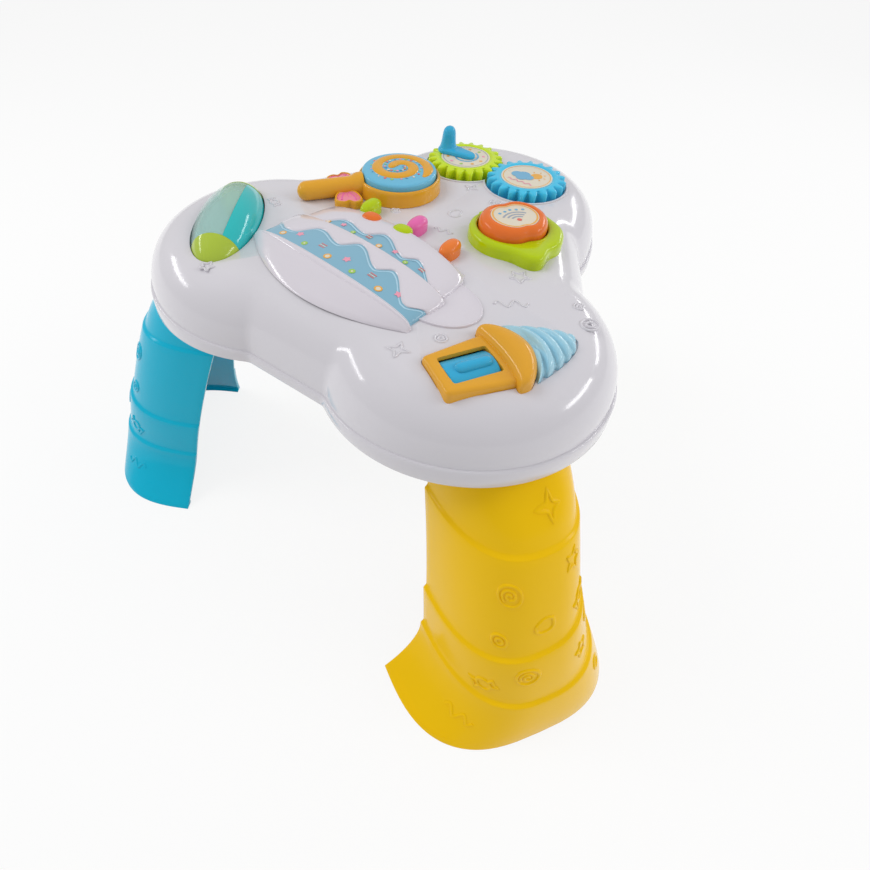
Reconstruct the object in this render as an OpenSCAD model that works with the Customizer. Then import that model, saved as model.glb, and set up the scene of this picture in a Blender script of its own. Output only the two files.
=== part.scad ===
// Musical activity table for toddlers: a three-lobed moulded top on three channel legs,
// with gears, a spinning lollipop, a roller drum, a rocker and press buttons.
// The table's own axis runs up through the middle of the three lobes.

/* [Moulded top] */
// Distance from the table's axis to the centre of each lobe
lobe_d = 110; // [106:0.5:114]
// Radius of each lobe at the skirt's edge
lobe_r = 110; // [107:0.5:116]
// Distance from the table's axis to the straight side between two lobes
side_d = 149; // [146:0.5:152]
// Radius of the hollow where a side runs into a lobe
hollow_r = 12; // [8:0.5:18]
// Height of the skirt's lower edge above the floor
skirt_z = 235; // [200:1:270]
// Height of the flat top above the skirt's lower edge
shell_h = 55.5; // [53:0.5:62]
// Wall thickness of the moulded top
shell_wall = 2.5; // [2.2:0.1:2.8]
// Height of the flange round the skirt
lip_h = 11; // [8:0.5:14]
// Step from the flange in to the wall above it
lip_step = 2.5; // [1.5:0.1:3]
// Width in plan of the rounded shoulder
shoulder_w = 36; // [30:0.5:38]
// Depth of the seats that the toys stand in
seat_depth = 1.5; // [1:0.1:1.8]

/* [Legs] */
// Distance from the table's axis to the outermost point of a foot
foot_reach = 313; // [300:1:330]
// Distance from the table's axis to the outer face of a leg under the skirt
leg_reach = 222; // [218:0.5:226]
// Distance from the table's axis to the open edges of a foot
foot_inner = 216; // [205:1:225]
// Distance from the table's axis to the open edges of a leg at its top
leg_inner = 145; // [140:1:150]
// Half width of a leg at its top
leg_half_w = 47; // [44:0.5:50]
// Half width that a leg gains down to its foot
leg_gain = 21; // [15:0.5:26]
// How far the foot flares on the side with the low flare
flare_low = 31; // [24:0.5:36]
// How far the foot flares on the side with the tall flare
flare_tall = 24; // [18:0.5:30]
// Height of the low flare
flare_low_h = 46; // [38:1:55]
// Height of the tall flare
flare_tall_h = 105; // [90:1:115]
// Wall thickness of a leg
leg_wall = 3; // [2.6:0.1:3.4]
// Depth of each ribbon step on a leg
ribbon_step = 2.5; // [1.5:0.1:3]
// Height of the tongue that plugs into the table
tongue_h = 14; // [10:0.5:15]
// Step in from the leg's face to its tongue
tongue_step = 1.2; // [1:0.1:1.4]

/* [Gears] */
// Number of teeth on each gear
gear_teeth = 20; // [16:2:24]
// Half the distance between the two gears
gear_x = 32; // [31:0.25:33]
// Distance of the gears from the table's axis, along Y
gear_y = 134; // [131:0.5:137]
// Height of a tooth above the gear's rolling circle
tooth_out = 2.6; // [2.2:0.1:2.8]
// Depth of a tooth gap under the gear's rolling circle
tooth_in = 4.1; // [3.8:0.1:4.4]
// Thickness of a gear
gear_h = 11.6; // [10:0.2:13]
// Depth of the round seats under the gears
gear_drop = 4.5; // [3.5:0.1:5]
// Width of the raised lip round the gear seats
seat_lip_w = 1.6; // [1.2:0.1:2]
// Height of the raised lip round the gear seats
seat_lip_h = 1; // [0.6:0.1:1.4]
// Radius of the printed label on a gear
gear_label_r = 22; // [18:0.5:24]
// Height of the crank's knob above its arm
knob_h = 18; // [14:0.5:24]
// Radius of the crank's knob at its foot
knob_r = 7; // [5.5:0.25:7.5]
// Distance from the gear's centre to the crank's knob
crank_r = 20; // [16:0.5:24]

/* [Lollipop] */
// Radius of the lollipop's rim
lolly_r = 36; // [34:0.5:37.5]
// Height of the lollipop's orange cup above the top
lolly_h = 13; // [11:0.5:15]
// Width of the cup's rim round the disc
lolly_rim = 3; // [2.4:0.2:3.6]
// Height of the disc's edge above the cup
disc_proud = 4.5; // [3:0.25:6]
// Distance from the lollipop's centre to the end of its stick
stick_l = 90; // [84:1:94]
// Radius of the lollipop's stick
stick_r = 8; // [7:0.25:8.5]

/* [Apple] */
// Mean radius of the apple's base
apple_r = 35.5; // [34.5:0.5:36.5]
// Mean radius of the apple's press button
apple_button_r = 28; // [26:0.25:28.5]
// Height of the apple's base above its seat
apple_base_h = 12; // [10:0.25:13]
// Height of the press button above the top of the base
apple_proud = 9.5; // [7:0.25:12]
// Travel of the apple button
apple_travel = 3; // [2:0.1:3.2]

/* [Cake] */
// Half width of the cake's plate
plate_half_w = 85; // [82:0.5:86]
// Half width of the lower tier
tier1_half_w = 81; // [77:0.5:82]
// Half width of the upper tier
tier2_half_w = 76; // [72:0.5:77]
// Height of the plate's crest above the top
plate_h = 13.5; // [13:0.25:16]
// Height of the lower tier above the top
tier1_h = 12; // [11:0.25:12.5]
// Height of the upper tier above the top
tier2_h = 10; // [9:0.25:10.5]
// Width of a candle button
candle_w = 13; // [11:0.25:13.5]
// Length of a candle button
candle_l = 22; // [19:0.25:22.5]
// Height of the low dish beside the cake
dish_h = 1.6; // [1.2:0.1:2.4]
// Width of a fruit button
fruit_w = 17; // [14:0.25:17.5]
// Length of a fruit button, from front to back
fruit_l = 12.5; // [11:0.25:13.4]
// Height of the candle and fruit buttons above the top
button_h = 12; // [11:0.25:14]
// Travel of the candle and fruit buttons
button_travel = 2.5; // [1.5:0.1:2.8]

/* [Ice cream] */
// Distance from the table's axis to the middle of the ice cream
ice_r = 162; // [160:0.5:163]
// Length of the cone, from its tip to the collar
cone_l = 45; // [44:0.25:46]
// Half width of the cone's narrow end
cone_tip_w = 18.75; // [18.25:0.25:20]
// Half width of the cone at the collar
cone_wide_w = 24.5; // [24:0.25:26]
// Height of the cone's frame above its seat
cone_h = 6; // [5.5:0.25:7]
// Length of the swirl beyond the collar
swirl_l = 36; // [32:0.5:38]
// Height of the rolled collar above its seat
collar_h = 14; // [12:0.5:15]
// Half width of the collar
collar_half_w = 29.5; // [28.5:0.25:30.5]
// Radius of the rocker's curved face
rocker_r = 20; // [19.5:0.25:21]
// Length of the rocker
rocker_l = 34; // [32:0.25:34.5]
// Largest tilt of the rocker to each side
rocker_tilt = 20; // [10:1:25]

/* [Roller drum] */
// Distance from the table's axis to the drum's middle
drum_d = 148; // [146:0.5:149]
// Shift of the drum along its own axle
drum_shift = 3; // [2:0.5:4]
// Half length of the drum
drum_half_l = 62; // [59:0.5:63]
// Radius of the drum at its middle
drum_r = 27; // [25:0.25:28]
// Depth of the drum's axle under the flat top
drum_sink = 7; // [6:0.25:8]
// Half length of the drum's middle shell
drum_mid = 43; // [38:0.5:46]
// Radius of the drum's steel axle
axle_r = 2.5; // [2:0.1:3]

/* [Underside] */
// Thickness of the base tray
tray_t = 2.5; // [2:0.1:3]
// Depth of the tray's face above the skirt's edge
tray_inset = 1; // [0.5:0.1:1.5]
// Radius of the speaker
speaker_r = 26; // [22:0.5:28]
// Radius of one battery
cell_r = 7.1; // [7:0.05:7.2]
// Length of one battery
cell_l = 50; // [49.5:0.1:50.5]
// Number of batteries side by side
cell_count = 3; // [2:1:3]
// Travel of the power switch
switch_travel = 6; // [4:0.5:8]

/* [Fits] */
// Clearance between parts that sit in each other
gap = 0.35; // [0.3:0.01:0.4]
// Running clearance of a shaft in its hole, on the radius
running = 0.06; // [0.03:0.01:0.09]
// Radius of the spindles under the gears, the lollipop and the apple
spindle_r = 5; // [4.5:0.1:5.5]
// Radius of a small screw's shank
screw_r = 1.5; // [1.3:0.05:1.7]
// Radius of a small screw's head
screw_head_r = 3.2; // [2.8:0.1:3.6]

/* [Hidden] */

$fn = 64;
sin60 = sin(60);
eps = 0.01;
top_z = skirt_z + shell_h;
ceiling_z = top_z - shell_wall;
seat_z = top_z - seat_depth;
tray_z = skirt_z + tray_inset;
tray_top_z = tray_z + tray_t;
lobe_arc_steps = 20;
hollow_arc_steps = 5;
leg_angles = [210, 330, 90];

// ---------- shared outline of the moulded top ----------

// Centre of the hollow beside a lobe that lies along +X
function hollow_centre(rl, s, rf) =
  let (
    k = s + rf,
    bx = k / 2 - lobe_d,
    by = k * sin60,
    half_b = bx * sin60 - by / 2,
    c = bx * bx + by * by - (rl + rf) * (rl + rf),
    t = -half_b - sqrt(half_b * half_b - c)
  )
  [k / 2 + t * sin60, k * sin60 - t / 2];

function polar_point(r, a) = [r * cos(a), r * sin(a)];
function mirror_at(p, a) = polar_point(norm(p), 2 * a - atan2(p.y, p.x));
function turned(p, a) = [p.x * cos(a) - p.y * sin(a), p.x * sin(a) + p.y * cos(a)];

// One third of the outline: a lobe along +X and the side after it
function outline_third(inset) =
  let (
    rl = lobe_r - inset,
    rf = hollow_r + inset,
    f = hollow_centre(rl, side_d - inset, rf),
    phi = atan2(f.y, f.x - lobe_d),
    lobe = [for (i = [0:lobe_arc_steps]) [lobe_d, 0] + polar_point(rl, phi * (2 * i / lobe_arc_steps - 1))],
    hollow = [for (i = [1:hollow_arc_steps]) f + polar_point(rf, phi + 180 + (60 - phi) * i / hollow_arc_steps)],
    far_hollow = [for (i = [hollow_arc_steps:-1:1]) mirror_at(hollow[i - 1], 60)]
  )
  concat(lobe, hollow, far_hollow);

function outline(inset) = [for (a = [90, 210, 330]) each [for (p = outline_third(inset)) turned(p, a)]];
function at_height(points, z) = [for (p = points) [p.x, p.y, z]];

// Rounded shoulder: how far it has come in, and how high, at each angle
shoulder_h = shell_h - lip_h;
function shoulder_in(a) = lip_step + shoulder_w * (1 - cos(a));
function shoulder_z(a) = skirt_z + lip_h + shoulder_h * sin(a);

// ---------- general shapes ----------

// Closed solid through equal rings of points, each end closed by a fan
module loft(rings) {
  n = len(rings[0]);
  m = len(rings);
  points = concat([for (r = rings) each r], [centroid(rings[0]), centroid(rings[m - 1])]);
  sides = [
    for (j = [0:m - 2]) for (i = [0:n - 1])
      let (a = j * n + i, b = j * n + (i + 1) % n, c = a + n, d = b + n)
      each [[a, c, d], [a, d, b]]
  ];
  low_cap = [for (i = [0:n - 1]) [m * n, i, (i + 1) % n]];
  high_cap = [for (i = [0:n - 1]) [m * n + 1, (m - 1) * n + (i + 1) % n, (m - 1) * n + i]];
  polyhedron(points, concat(sides, low_cap, high_cap));
}

function centroid(ring) = [for (k = [0:2]) [for (p = ring) p[k]] * [for (p = ring) 1] / len(ring)];

// Points of a rounded rectangle-like oval; a higher power makes it squarer
function oval(half_x, half_y, power, steps) = [
  for (i = [0:steps - 1])
    let (a = 360 * i / steps, c = cos(a), s = sin(a))
    [half_x * sign(c) * pow(abs(c), 2 / power), half_y * sign(s) * pow(abs(s), 2 / power)]
];
function scaled(points, k) = [for (p = points) [p.x * k.x, p.y * k.y]];

module ring_plate(r_out, r_in, h) {
  difference() {
    cylinder(r = r_out, h = h);
    translate([0, 0, -1]) cylinder(r = r_in, h = h + 2);
  }
}

// Screw with a washer, its washer's upper face at the origin and its shank up
module washer_screw(shank_l) {
  washer_r = spindle_r + 4;
  washer_t = 1.2;
  head_t = 2;
  translate([0, 0, -washer_t]) cylinder(r = washer_r, h = washer_t);
  translate([0, 0, -washer_t - head_t]) cylinder(r = screw_head_r, h = head_t + eps);
  cylinder(r = screw_r, h = shank_l);
}

// Small screw that points up, its head's lower face at the origin
module small_screw(shank_l, head_t) {
  cylinder(r = screw_head_r, h = head_t);
  translate([0, 0, head_t - eps]) cylinder(r = screw_r, h = shank_l);
}

// ---------- leg sections ----------

function ease(x) = let (c = max(0, min(1, x))) c * c * (3 - 2 * c);
function rise(z) = min(1, z / skirt_z);
neck_in = 10;
neck_from = 0.85;
function leg_inner_at(z) = foot_inner - (foot_inner - leg_inner) * pow(rise(z), 1.45);
function leg_reach_at(z) =
  foot_reach - (foot_reach - leg_reach) * pow(rise(z), 1.4) - neck_in * ease((rise(z) - neck_from) / (1 - neck_from));
function leg_half_w_at(z) = leg_half_w + leg_gain * pow(1 - rise(z), 1.2);
function flare_at(z, side) =
  side < 0 ? flare_low * pow(max(0, 1 - z / flare_low_h), 1.8) : flare_tall * pow(max(0, 1 - z / flare_tall_h), 1.1);
function leg_power_at(z) = 2.5 + 0.4 * max(0, 1 - z / 60);

leg_steps = 24;
// Path round the channel's outer face (cut = 0), seen along +X; side = -1 or 1 at its two open edges
function leg_path(z, cut) = [
  for (i = [0:leg_steps])
    let (
      a = -90 + 180 * i / leg_steps,
      e = leg_power_at(z),
      across = sign(a) * pow(abs(sin(a)), 2 / e),
      along = pow(max(0, cos(a)), 2 / e),
      inner = leg_inner_at(z)
    )
    [inner + (leg_reach_at(z) - inner - cut) * along, (leg_half_w_at(z) + flare_at(z, a) - cut) * across]
];

// Ribbon edges: height at the middle of the leg, and rise towards the tall-flare side
ribbons = [[187, 2], [104, 12]];
foot_line_z = 50;
ribbon_edge = 2.2;
function ribbon_z(r, i) = r[0] * skirt_z / 235 + r[1] * sin(-90 + 180 * i / leg_steps);

function ribbon_ring(r, dz, grow) = [
  for (i = [0:leg_steps])
    let (z = ribbon_z(r, i) + dz, p = leg_path(z, -grow)[i])
    [p.x, p.y, z]
];
function level_ring(z, grow) = at_height(leg_path(z, -grow), z);

// Channel solid between a list of outer paths and a list of inner paths
module channel(outer, inner) {
  n = len(outer[0]);
  m = len(outer);
  points = concat([for (r = outer) each r], [for (r = inner) each r]);
  skin = [
    for (j = [0:m - 2]) for (i = [0:n - 2])
      let (a = j * n + i, b = a + 1, c = a + n, d = b + n, k = m * n)
      each [[a, c, d], [a, d, b], [a + k, d + k, c + k], [a + k, b + k, d + k]]
  ];
  open_edges = [
    for (j = [0:m - 2])
      let (o = j * n, p = o + n, k = m * n, q = o + n - 1, r = q + n)
      each [[o + k, p + k, p], [o + k, p, o], [q, r, r + k], [q, r + k, q + k]]
  ];
  ends = [
    for (i = [0:n - 2])
      let (k = m * n, t = (m - 1) * n)
      each [
        [i, i + 1, k + i + 1], [i, k + i + 1, k + i],
        [t + i, k + t + i, k + t + i + 1], [t + i, k + t + i + 1, t + i + 1]
      ]
  ];
  polyhedron(points, concat(skin, open_edges, ends));
}

module leg_shape() {
  shoulder_z0 = tray_z - gap;
  foot_levels = [0, 3, 10, 20, 32, 45];
  upper_levels = [130, 158];
  outer = concat(
    [for (z = foot_levels) level_ring(z, ribbon_step)],
    [level_ring(foot_line_z, ribbon_step), level_ring(foot_line_z + ribbon_edge, 0)],
    [level_ring((foot_line_z + ribbons[1][0]) / 2, ribbon_step / 2)],
    [ribbon_ring(ribbons[1], 0, ribbon_step), ribbon_ring(ribbons[1], ribbon_edge, 0)],
    [for (z = upper_levels) level_ring(z, ribbon_step * (z - 100) / 80)],
    [ribbon_ring(ribbons[0], 0, ribbon_step), ribbon_ring(ribbons[0], ribbon_edge, 0)],
    [level_ring(212, 0), level_ring(shoulder_z0, 0), level_ring(shoulder_z0 + eps, -tongue_step)],
    [level_ring(shoulder_z0 + tongue_h, -tongue_step)]
  );
  rim_w = 7;
  inner = [
    for (j = [0:len(outer) - 1])
      [
        for (i = [0:leg_steps])
          let (z = outer[j][i].z, w = j < 2 ? rim_w : leg_wall, p = leg_path(z, w)[i])
          [p.x, p.y, z]
      ]
  ];
  channel(outer, inner);
}

// Half of the table's depth lies before and behind the origin
foot_front = min([for (p = level_ring(0, ribbon_step)) turned(p, 330).y]);
foot_back = foot_reach + ribbon_step;
centre_shift = -(foot_front + foot_back) / 2;

// Places what follows on the table's own axis
module table_axis() {
  translate([0, centre_shift, 0]) children();
}

// ---------- places of the toys ----------

lolly_pos = [-52, 57];
stick_angle = 232.5;
apple_pos = [67.6, 47.2];
apple_angle = 58;
cake_pos = [2, 0];
cake_angle = -7.5;
candle_places = [[-42.8, 6.5], [4, 7], [43.8, -5.5]];
fruit_places = [[-27, -12], [3.5, -12]];
drum_angle = 123;
ice_angle = 60;
board_half = [60, 34];
board_pos = [10, 0];
board_t = 1.6;
// The buttons' flanges rest under the top, and their pads stand on the board
button_flange_z = ceiling_z - 0.4;
flange_t = 2;
flange_out = 1.6;
pad_pressed_h = 7;
board_top_z = button_flange_z - flange_t - button_travel - pad_pressed_h;
board_post_in = 6;
battery_pos = [0, -45];
speaker_pos = [0, 45];
switch_pos = [62, 0];
column_d_side = 118;
column_d_lobe = 95;
column_r = 4.5;
column_places = concat(
  [for (a = [30, 150, 270]) polar_point(column_d_side, a)],
  [for (a = [90, 210, 330]) polar_point(column_d_lobe, a)]
);
board_posts = [
  for (x = [-1, 1]) for (y = [-1, 1])
    [board_pos.x + x * (board_half.x - board_post_in), board_pos.y + y * (board_half.y - board_post_in)]
];

module at_each(places) {
  for (p = places) translate([p.x, p.y, 0]) children();
}

// ---------- moulded top ----------

gear_seat_z = top_z - gear_drop;
gear_tip_r = gear_x + tooth_out;
gear_seat_r = gear_tip_r + 1.2;
gear_places = [[-gear_x, gear_y], [gear_x, gear_y]];

outer_angles = [6, 20, 34, 48, 60, 72, 82, 90];
inner_angles = [10, 40, 62, 78, 90];

module shell_skin() {
  outer = concat(
    [at_height(outline(0), skirt_z), at_height(outline(lip_step * 0.2), skirt_z + lip_h - 1)],
    [at_height(outline(lip_step * 0.8), skirt_z + lip_h)],
    [for (a = outer_angles) at_height(outline(shoulder_in(a)), shoulder_z(a))]
  );
  inner = [
    for (k = [len(inner_angles) - 1:-1:0])
      let (a = inner_angles[k])
      at_height(outline(shoulder_in(a) + shell_wall), shoulder_z(a) - shell_wall * sin(a))
  ];
  skirt_inner = [at_height(outline(lip_step + shell_wall), skirt_z)];
  loft(concat(inner, skirt_inner, outer));
}

// Room inside the moulded top, the given clearance away from its wall
module shell_room(clear) {
  loft(concat(
    [at_height(outline(lip_step + shell_wall + clear), skirt_z)],
    [
      for (a = inner_angles)
        at_height(outline(shoulder_in(a) + shell_wall + clear), shoulder_z(a) - shell_wall * sin(a) - clear)
    ]
  ));
}

// The moulded top's shoulder as one solid, grown outwards, up to the seats' floor
module shoulder_block(grow) {
  intersection() {
    loft([for (a = outer_angles) at_height(outline(shoulder_in(a) - grow), shoulder_z(a) + grow * sin(a))]);
    translate([0, 0, skirt_z]) cylinder(r = foot_reach, h = seat_z - skirt_z);
  }
}

module drum_axes() {
  c = polar_point(drum_d, 210) + polar_point(drum_shift, drum_angle + 180);
  translate([c.x, c.y, top_z - drum_sink]) rotate([0, 0, drum_angle]) rotate([0, 90, 0]) children();
}

module drum_plan() {
  c = polar_point(drum_d, 210) + polar_point(drum_shift, drum_angle + 180);
  translate([c.x, c.y, 0]) rotate([0, 0, drum_angle]) children();
}

module ice_axes() {
  c = polar_point(ice_r, 330);
  translate([c.x, c.y, 0]) rotate([0, 0, ice_angle]) children();
}

drum_gap = 1.2;
cradle_wall = 2;

// The ice cream: cone from its narrow end to the collar, then the swirl to its tip
collar_x = -9;
collar_bow = 6;
collar_front = 14;
ear_t = 3;
ear_half_w = 8;
rocker_half_w = cone_tip_w - 6.5;
window_x = collar_x - 3 - rocker_l / 2;
ear_x = rocker_l / 2 + gap + ear_t;
cone_plan = [
  [collar_x - cone_l, -cone_tip_w + 3], [collar_x - cone_l + 3, -cone_tip_w], [collar_x, -cone_wide_w],
  [collar_x + 6, -cone_wide_w], [collar_x + 6, cone_wide_w], [collar_x, cone_wide_w],
  [collar_x - cone_l + 3, cone_tip_w], [collar_x - cone_l, cone_tip_w - 3]
];
// The collar's two edges bend round the cone, and meet in a rounded end at each side
function collar_in(y) = collar_x + 1 - collar_bow * pow(y / collar_half_w, 2);
function collar_out(y) = collar_front * (1 - 0.88 * pow(y / collar_half_w, 2));
function collar_edge(a) =
  let (
    y = collar_half_w * sin(a),
    mid = (collar_in(y) + collar_out(y)) / 2,
    half = (collar_out(y) - collar_in(y)) / 2,
    c = cos(a)
  )
  [mid + half * sign(c) * pow(abs(c), 0.5), y];
collar_steps = 32;
collar_plan = [for (i = [0:collar_steps - 1]) collar_edge(360 * i / collar_steps)];

// Outline of an apple, with its stem along +Y
function apple_ring(r, steps) = [
  for (i = [0:steps - 1])
    let (
      a = 360 * i / steps,
      from_stem = min(abs(a - 90), abs(a - 450)),
      from_tail = abs(a - 270),
      dip = 0.17 * exp(-pow(from_stem / 20, 2)) + 0.09 * exp(-pow(from_tail / 15, 2))
    )
    polar_point(r * (1.03 + 0.05 * sin(a) - dip), a)
];
apple_steps = 48;

// Swells of the apple's base: direction, spread and reach of each
apple_swells = [[264, 17, 14], [318, 22, 4.5], [350, 20, 2.5], [95, 22, -5]];
function between(a, b) = min(abs(a - b), 360 - abs(a - b));
function apple_base_ring(grow) = [
  for (i = [0:apple_steps - 1])
    let (
      a = 360 * i / apple_steps,
      reach = [for (s = apple_swells) s[2] * exp(-pow(between(a, s[0]) / s[1], 2))]
    )
    polar_point(apple_r + grow + reach * [for (s = apple_swells) 1], a)
];

// A pointed leaf with its stalk at the origin and its tip along +Y
function leaf_plan(l, w) = concat(
  [for (i = [0:8]) [w * sin(180 * i / 8), l * i / 8]],
  [for (i = [7:-1:1]) [-w * sin(180 * i / 8), l * i / 8]]
);
leaf_l = 18;
leaf_w = 5;
leaf_root = 21;
leaf_turns = [-28, 47];

module apple_axes() {
  translate([apple_pos.x, apple_pos.y, 0]) rotate([0, 0, apple_angle]) children();
}

module apple_base_plan(grow) {
  polygon(apple_base_ring(grow));
  for (a = leaf_turns) translate([0, leaf_root]) rotate(a) polygon(leaf_plan(leaf_l + grow, leaf_w + grow));
}

button_power = 2.3;
button_steps = 24;
function slot_plan(w, l, grow) = oval(w / 2 + grow, l / 2 + grow, button_power, button_steps);

module slots(grow, h) {
  for (p = candle_places) translate(p) linear_extrude(h) polygon(slot_plan(candle_w, candle_l, grow));
  for (p = fruit_places) translate(p) linear_extrude(h) polygon(slot_plan(fruit_w, fruit_l, grow));
}

module top_shell() color("#e6e3ee") table_axis() {
  difference() {
    union() {
      shell_skin();
      for (p = gear_places)
        translate([p.x, p.y, gear_seat_z - shell_wall])
          cylinder(r = gear_seat_r + seat_lip_w, h = shell_wall + gear_drop + seat_lip_h);
      at_each(column_places) translate([0, 0, tray_top_z]) cylinder(r = column_r, h = ceiling_z - tray_top_z);
      at_each(board_posts) translate([0, 0, board_top_z]) cylinder(r = column_r - 1, h = ceiling_z - board_top_z + 0.5);
    }
    at_each(gear_places) translate([0, 0, gear_seat_z]) cylinder(r = gear_seat_r, h = 20);
    at_each(gear_places) translate([0, 0, gear_seat_z - 10]) cylinder(r = spindle_r + running, h = 20);
    at_each([lolly_pos, apple_pos]) translate([0, 0, ceiling_z - 5]) cylinder(r = spindle_r + 0.6, h = 20);
    at_each(column_places) translate([0, 0, tray_top_z - 1]) cylinder(r = screw_r + 0.1, h = 14);
    at_each(board_posts) translate([0, 0, board_top_z - 1]) cylinder(r = screw_r + 0.1, h = 9);
    translate([0, 0, ceiling_z - 5]) slots(gap, 20);
    drum_axes() rotate_extrude() polygon(cradle_curve(drum_gap));
    apple_axes() translate([0, 0, seat_z]) linear_extrude(20) offset(delta = gap) apple_base_plan(0);
    ice_axes() translate([0, 0, seat_z]) linear_extrude(20) offset(delta = gap) {
      polygon(cone_plan);
      polygon(collar_plan);
      polygon(swirl_plan());
    }
    ice_axes() translate([window_x - ear_x - 0.5, -rocker_opening / 2, ceiling_z - 10])
      cube([2 * ear_x + 1, rocker_opening, 30]);
    ice_axes() translate([window_x - ear_x - 0.5, 0, rocker_z]) rotate([0, 90, 0])
      cylinder(r = rocker_r + gap, h = 2 * ear_x + 1);
  }
}

// ---------- base tray ----------

function u_plan(grow) =
  let (outer = leg_path(skirt_z, tongue_step - grow), inner = leg_path(skirt_z, leg_wall + grow), n = len(outer) - 1)
  concat(
    [[outer[0].x - grow, outer[0].y]], outer, [[outer[n].x - grow, outer[n].y]],
    [[inner[n].x - grow, inner[n].y]], [for (i = [n:-1:0]) inner[i]], [[inner[0].x - grow, inner[0].y]]
  );
function tenon_plan(t) =
  let (outer = leg_path(skirt_z, leg_wall + gap), inner = leg_path(skirt_z, leg_wall + gap + t), n = len(outer) - 1)
  concat(outer, [for (i = [n:-1:0]) inner[i]]);

box_wall = 2;
box_in = [cell_count * (2 * cell_r + 0.6) + 0.6, cell_l + 7, 2 * cell_r + 1];
box_out = [box_in.x + 2 * box_wall, box_in.y + 2 * box_wall, box_in.z + box_wall];
door_t = 2;
contact_t = (box_in.y - cell_l) / 2 - 0.1;
switch_slot = [switch_travel + 9, 5];

module base_tray() color("#dedbe6") table_axis() {
  tray_outline = outline(lip_step + shell_wall + gap);
  difference() {
    union() {
      translate([0, 0, tray_z]) linear_extrude(tray_t) polygon(tray_outline);
      for (a = leg_angles) rotate(a) translate([0, 0, tray_z]) linear_extrude(tongue_h) polygon(tenon_plan(2));
    }
    for (a = leg_angles) rotate(a) translate([0, 0, tray_z - 1]) linear_extrude(tray_t + 2) polygon(u_plan(gap));
    translate([battery_pos.x - box_out.x / 2 - gap, battery_pos.y - box_out.y / 2 - gap, tray_z - 1])
      cube([box_out.x + 2 * gap, box_out.y + 2 * gap, tray_t + 2]);
    translate([speaker_pos.x, speaker_pos.y, tray_z - 1]) grille_holes(tray_t + 2);
    translate([switch_pos.x - switch_slot.x / 2, switch_pos.y - switch_slot.y / 2, tray_z - 1])
      cube([switch_slot.x, switch_slot.y, tray_t + 2]);
    at_each(column_places) translate([0, 0, tray_z - 1]) cylinder(r = screw_r + 0.1, h = tray_t + 2);
    at_each(column_places) translate([0, 0, tray_z - 1]) cylinder(r = screw_head_r + gap, h = 1 + head_sink);
  }
}

head_sink = 1.4;
tray_screw_l = 11;
grille_rings = 3;
module grille_holes(h) {
  cylinder(r = 2, h = h, $fn = 24);
  for (k = [1:grille_rings]) for (i = [0:6 * k - 1])
    rotate(360 * i / (6 * k)) translate([k * 6, 0, 0]) cylinder(r = 1.6, h = h, $fn = 16);
}

module tray_screws() color("silver") table_axis()
  at_each(column_places) translate([0, 0, tray_z + 0.1]) small_screw(tray_screw_l, head_sink - 0.1);

module turquoise_leg() color("#00a5be") table_axis() rotate(210) mirror([0, 1, 0]) leg_shape();
module yellow_leg() color("#ebbe00") table_axis() rotate(330) leg_shape();
module lime_leg() color("#c8e100") table_axis() rotate(90) leg_shape();

// ---------- gears ----------

gear_z0 = gear_seat_z + 0.4;
gear_z1 = gear_z0 + gear_h;
stem_end_z = gear_seat_z - shell_wall - 0.5;
label_t = 0.6;
pitch_mid = gear_x - (tooth_in - tooth_out) / 2 * 0.8;
tooth_steps = 8;

function tooth_wave(a) = let (s = sin(gear_teeth * a)) s > 0 ? s * (gear_tip_r - pitch_mid) : s * (pitch_mid - gear_x + tooth_in);
function gear_plan() = [
  for (i = [0:gear_teeth * tooth_steps - 1])
    let (a = 360 * i / (gear_teeth * tooth_steps))
    polar_point(pitch_mid + tooth_wave(a), a)
];

module gear_body() {
  chamfer = 1.2;
  difference() {
    union() {
      translate([0, 0, gear_z0]) linear_extrude(gear_h - chamfer) polygon(gear_plan());
      translate([0, 0, gear_z1 - chamfer - eps]) linear_extrude(chamfer + eps)
        polygon(scaled(gear_plan(), [1 - chamfer / gear_x, 1 - chamfer / gear_x]));
      translate([0, 0, stem_end_z]) cylinder(r = spindle_r, h = gear_z0 - stem_end_z + 1);
    }
    translate([0, 0, gear_z1 - label_t]) cylinder(r = gear_label_r + 0.1, h = 5);
    translate([0, 0, stem_end_z - 1]) cylinder(r = screw_r + 0.05, h = 11);
  }
}

module gear_label() {
  translate([0, 0, gear_z1 - label_t]) cylinder(r = gear_label_r, h = label_t);
}

module gear_fastener() {
  translate([0, 0, stem_end_z]) washer_screw(9);
}

module lime_gear() color("#b9d714") table_axis() translate(gear_places[0]) gear_body();
module blue_gear() color("#3ca5d7") table_axis() translate(gear_places[1]) gear_body();
module lime_gear_label() color("#f0e2c0") table_axis() translate(gear_places[0]) gear_label();
module blue_gear_label() color("#f0e2c0") table_axis() translate(gear_places[1]) gear_label();
module lime_gear_screw() color("silver") table_axis() translate(gear_places[0]) gear_fastener();
module blue_gear_screw() color("silver") table_axis() translate(gear_places[1]) gear_fastener();

crank_angle = 180;
arm_t = 4;
arm_w = 6;
module crank_handle() color("#3ca5d7") table_axis() translate([gear_places[0].x, gear_places[0].y, gear_z1]) {
  knob = polar_point(crank_r, crank_angle);
  hull() {
    translate(knob) cylinder(r = knob_r + 2.5, h = arm_t, $fn = 32);
    translate(polar_point(4, crank_angle + 180)) cylinder(r = arm_w - 1, h = arm_t - 1, $fn = 32);
  }
  translate(knob) rotate_extrude()
    polygon(concat(
      [[0, arm_t - 1], [knob_r + 1, arm_t - 1], [knob_r, arm_t + 3], [knob_r - 1.5, arm_t + knob_h - 5]],
      [for (a = [15:15:90]) [(knob_r - 1.5) * cos(a), arm_t + knob_h - 5 + 5 * sin(a)]]
    ));
}

// ---------- lollipop ----------

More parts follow.
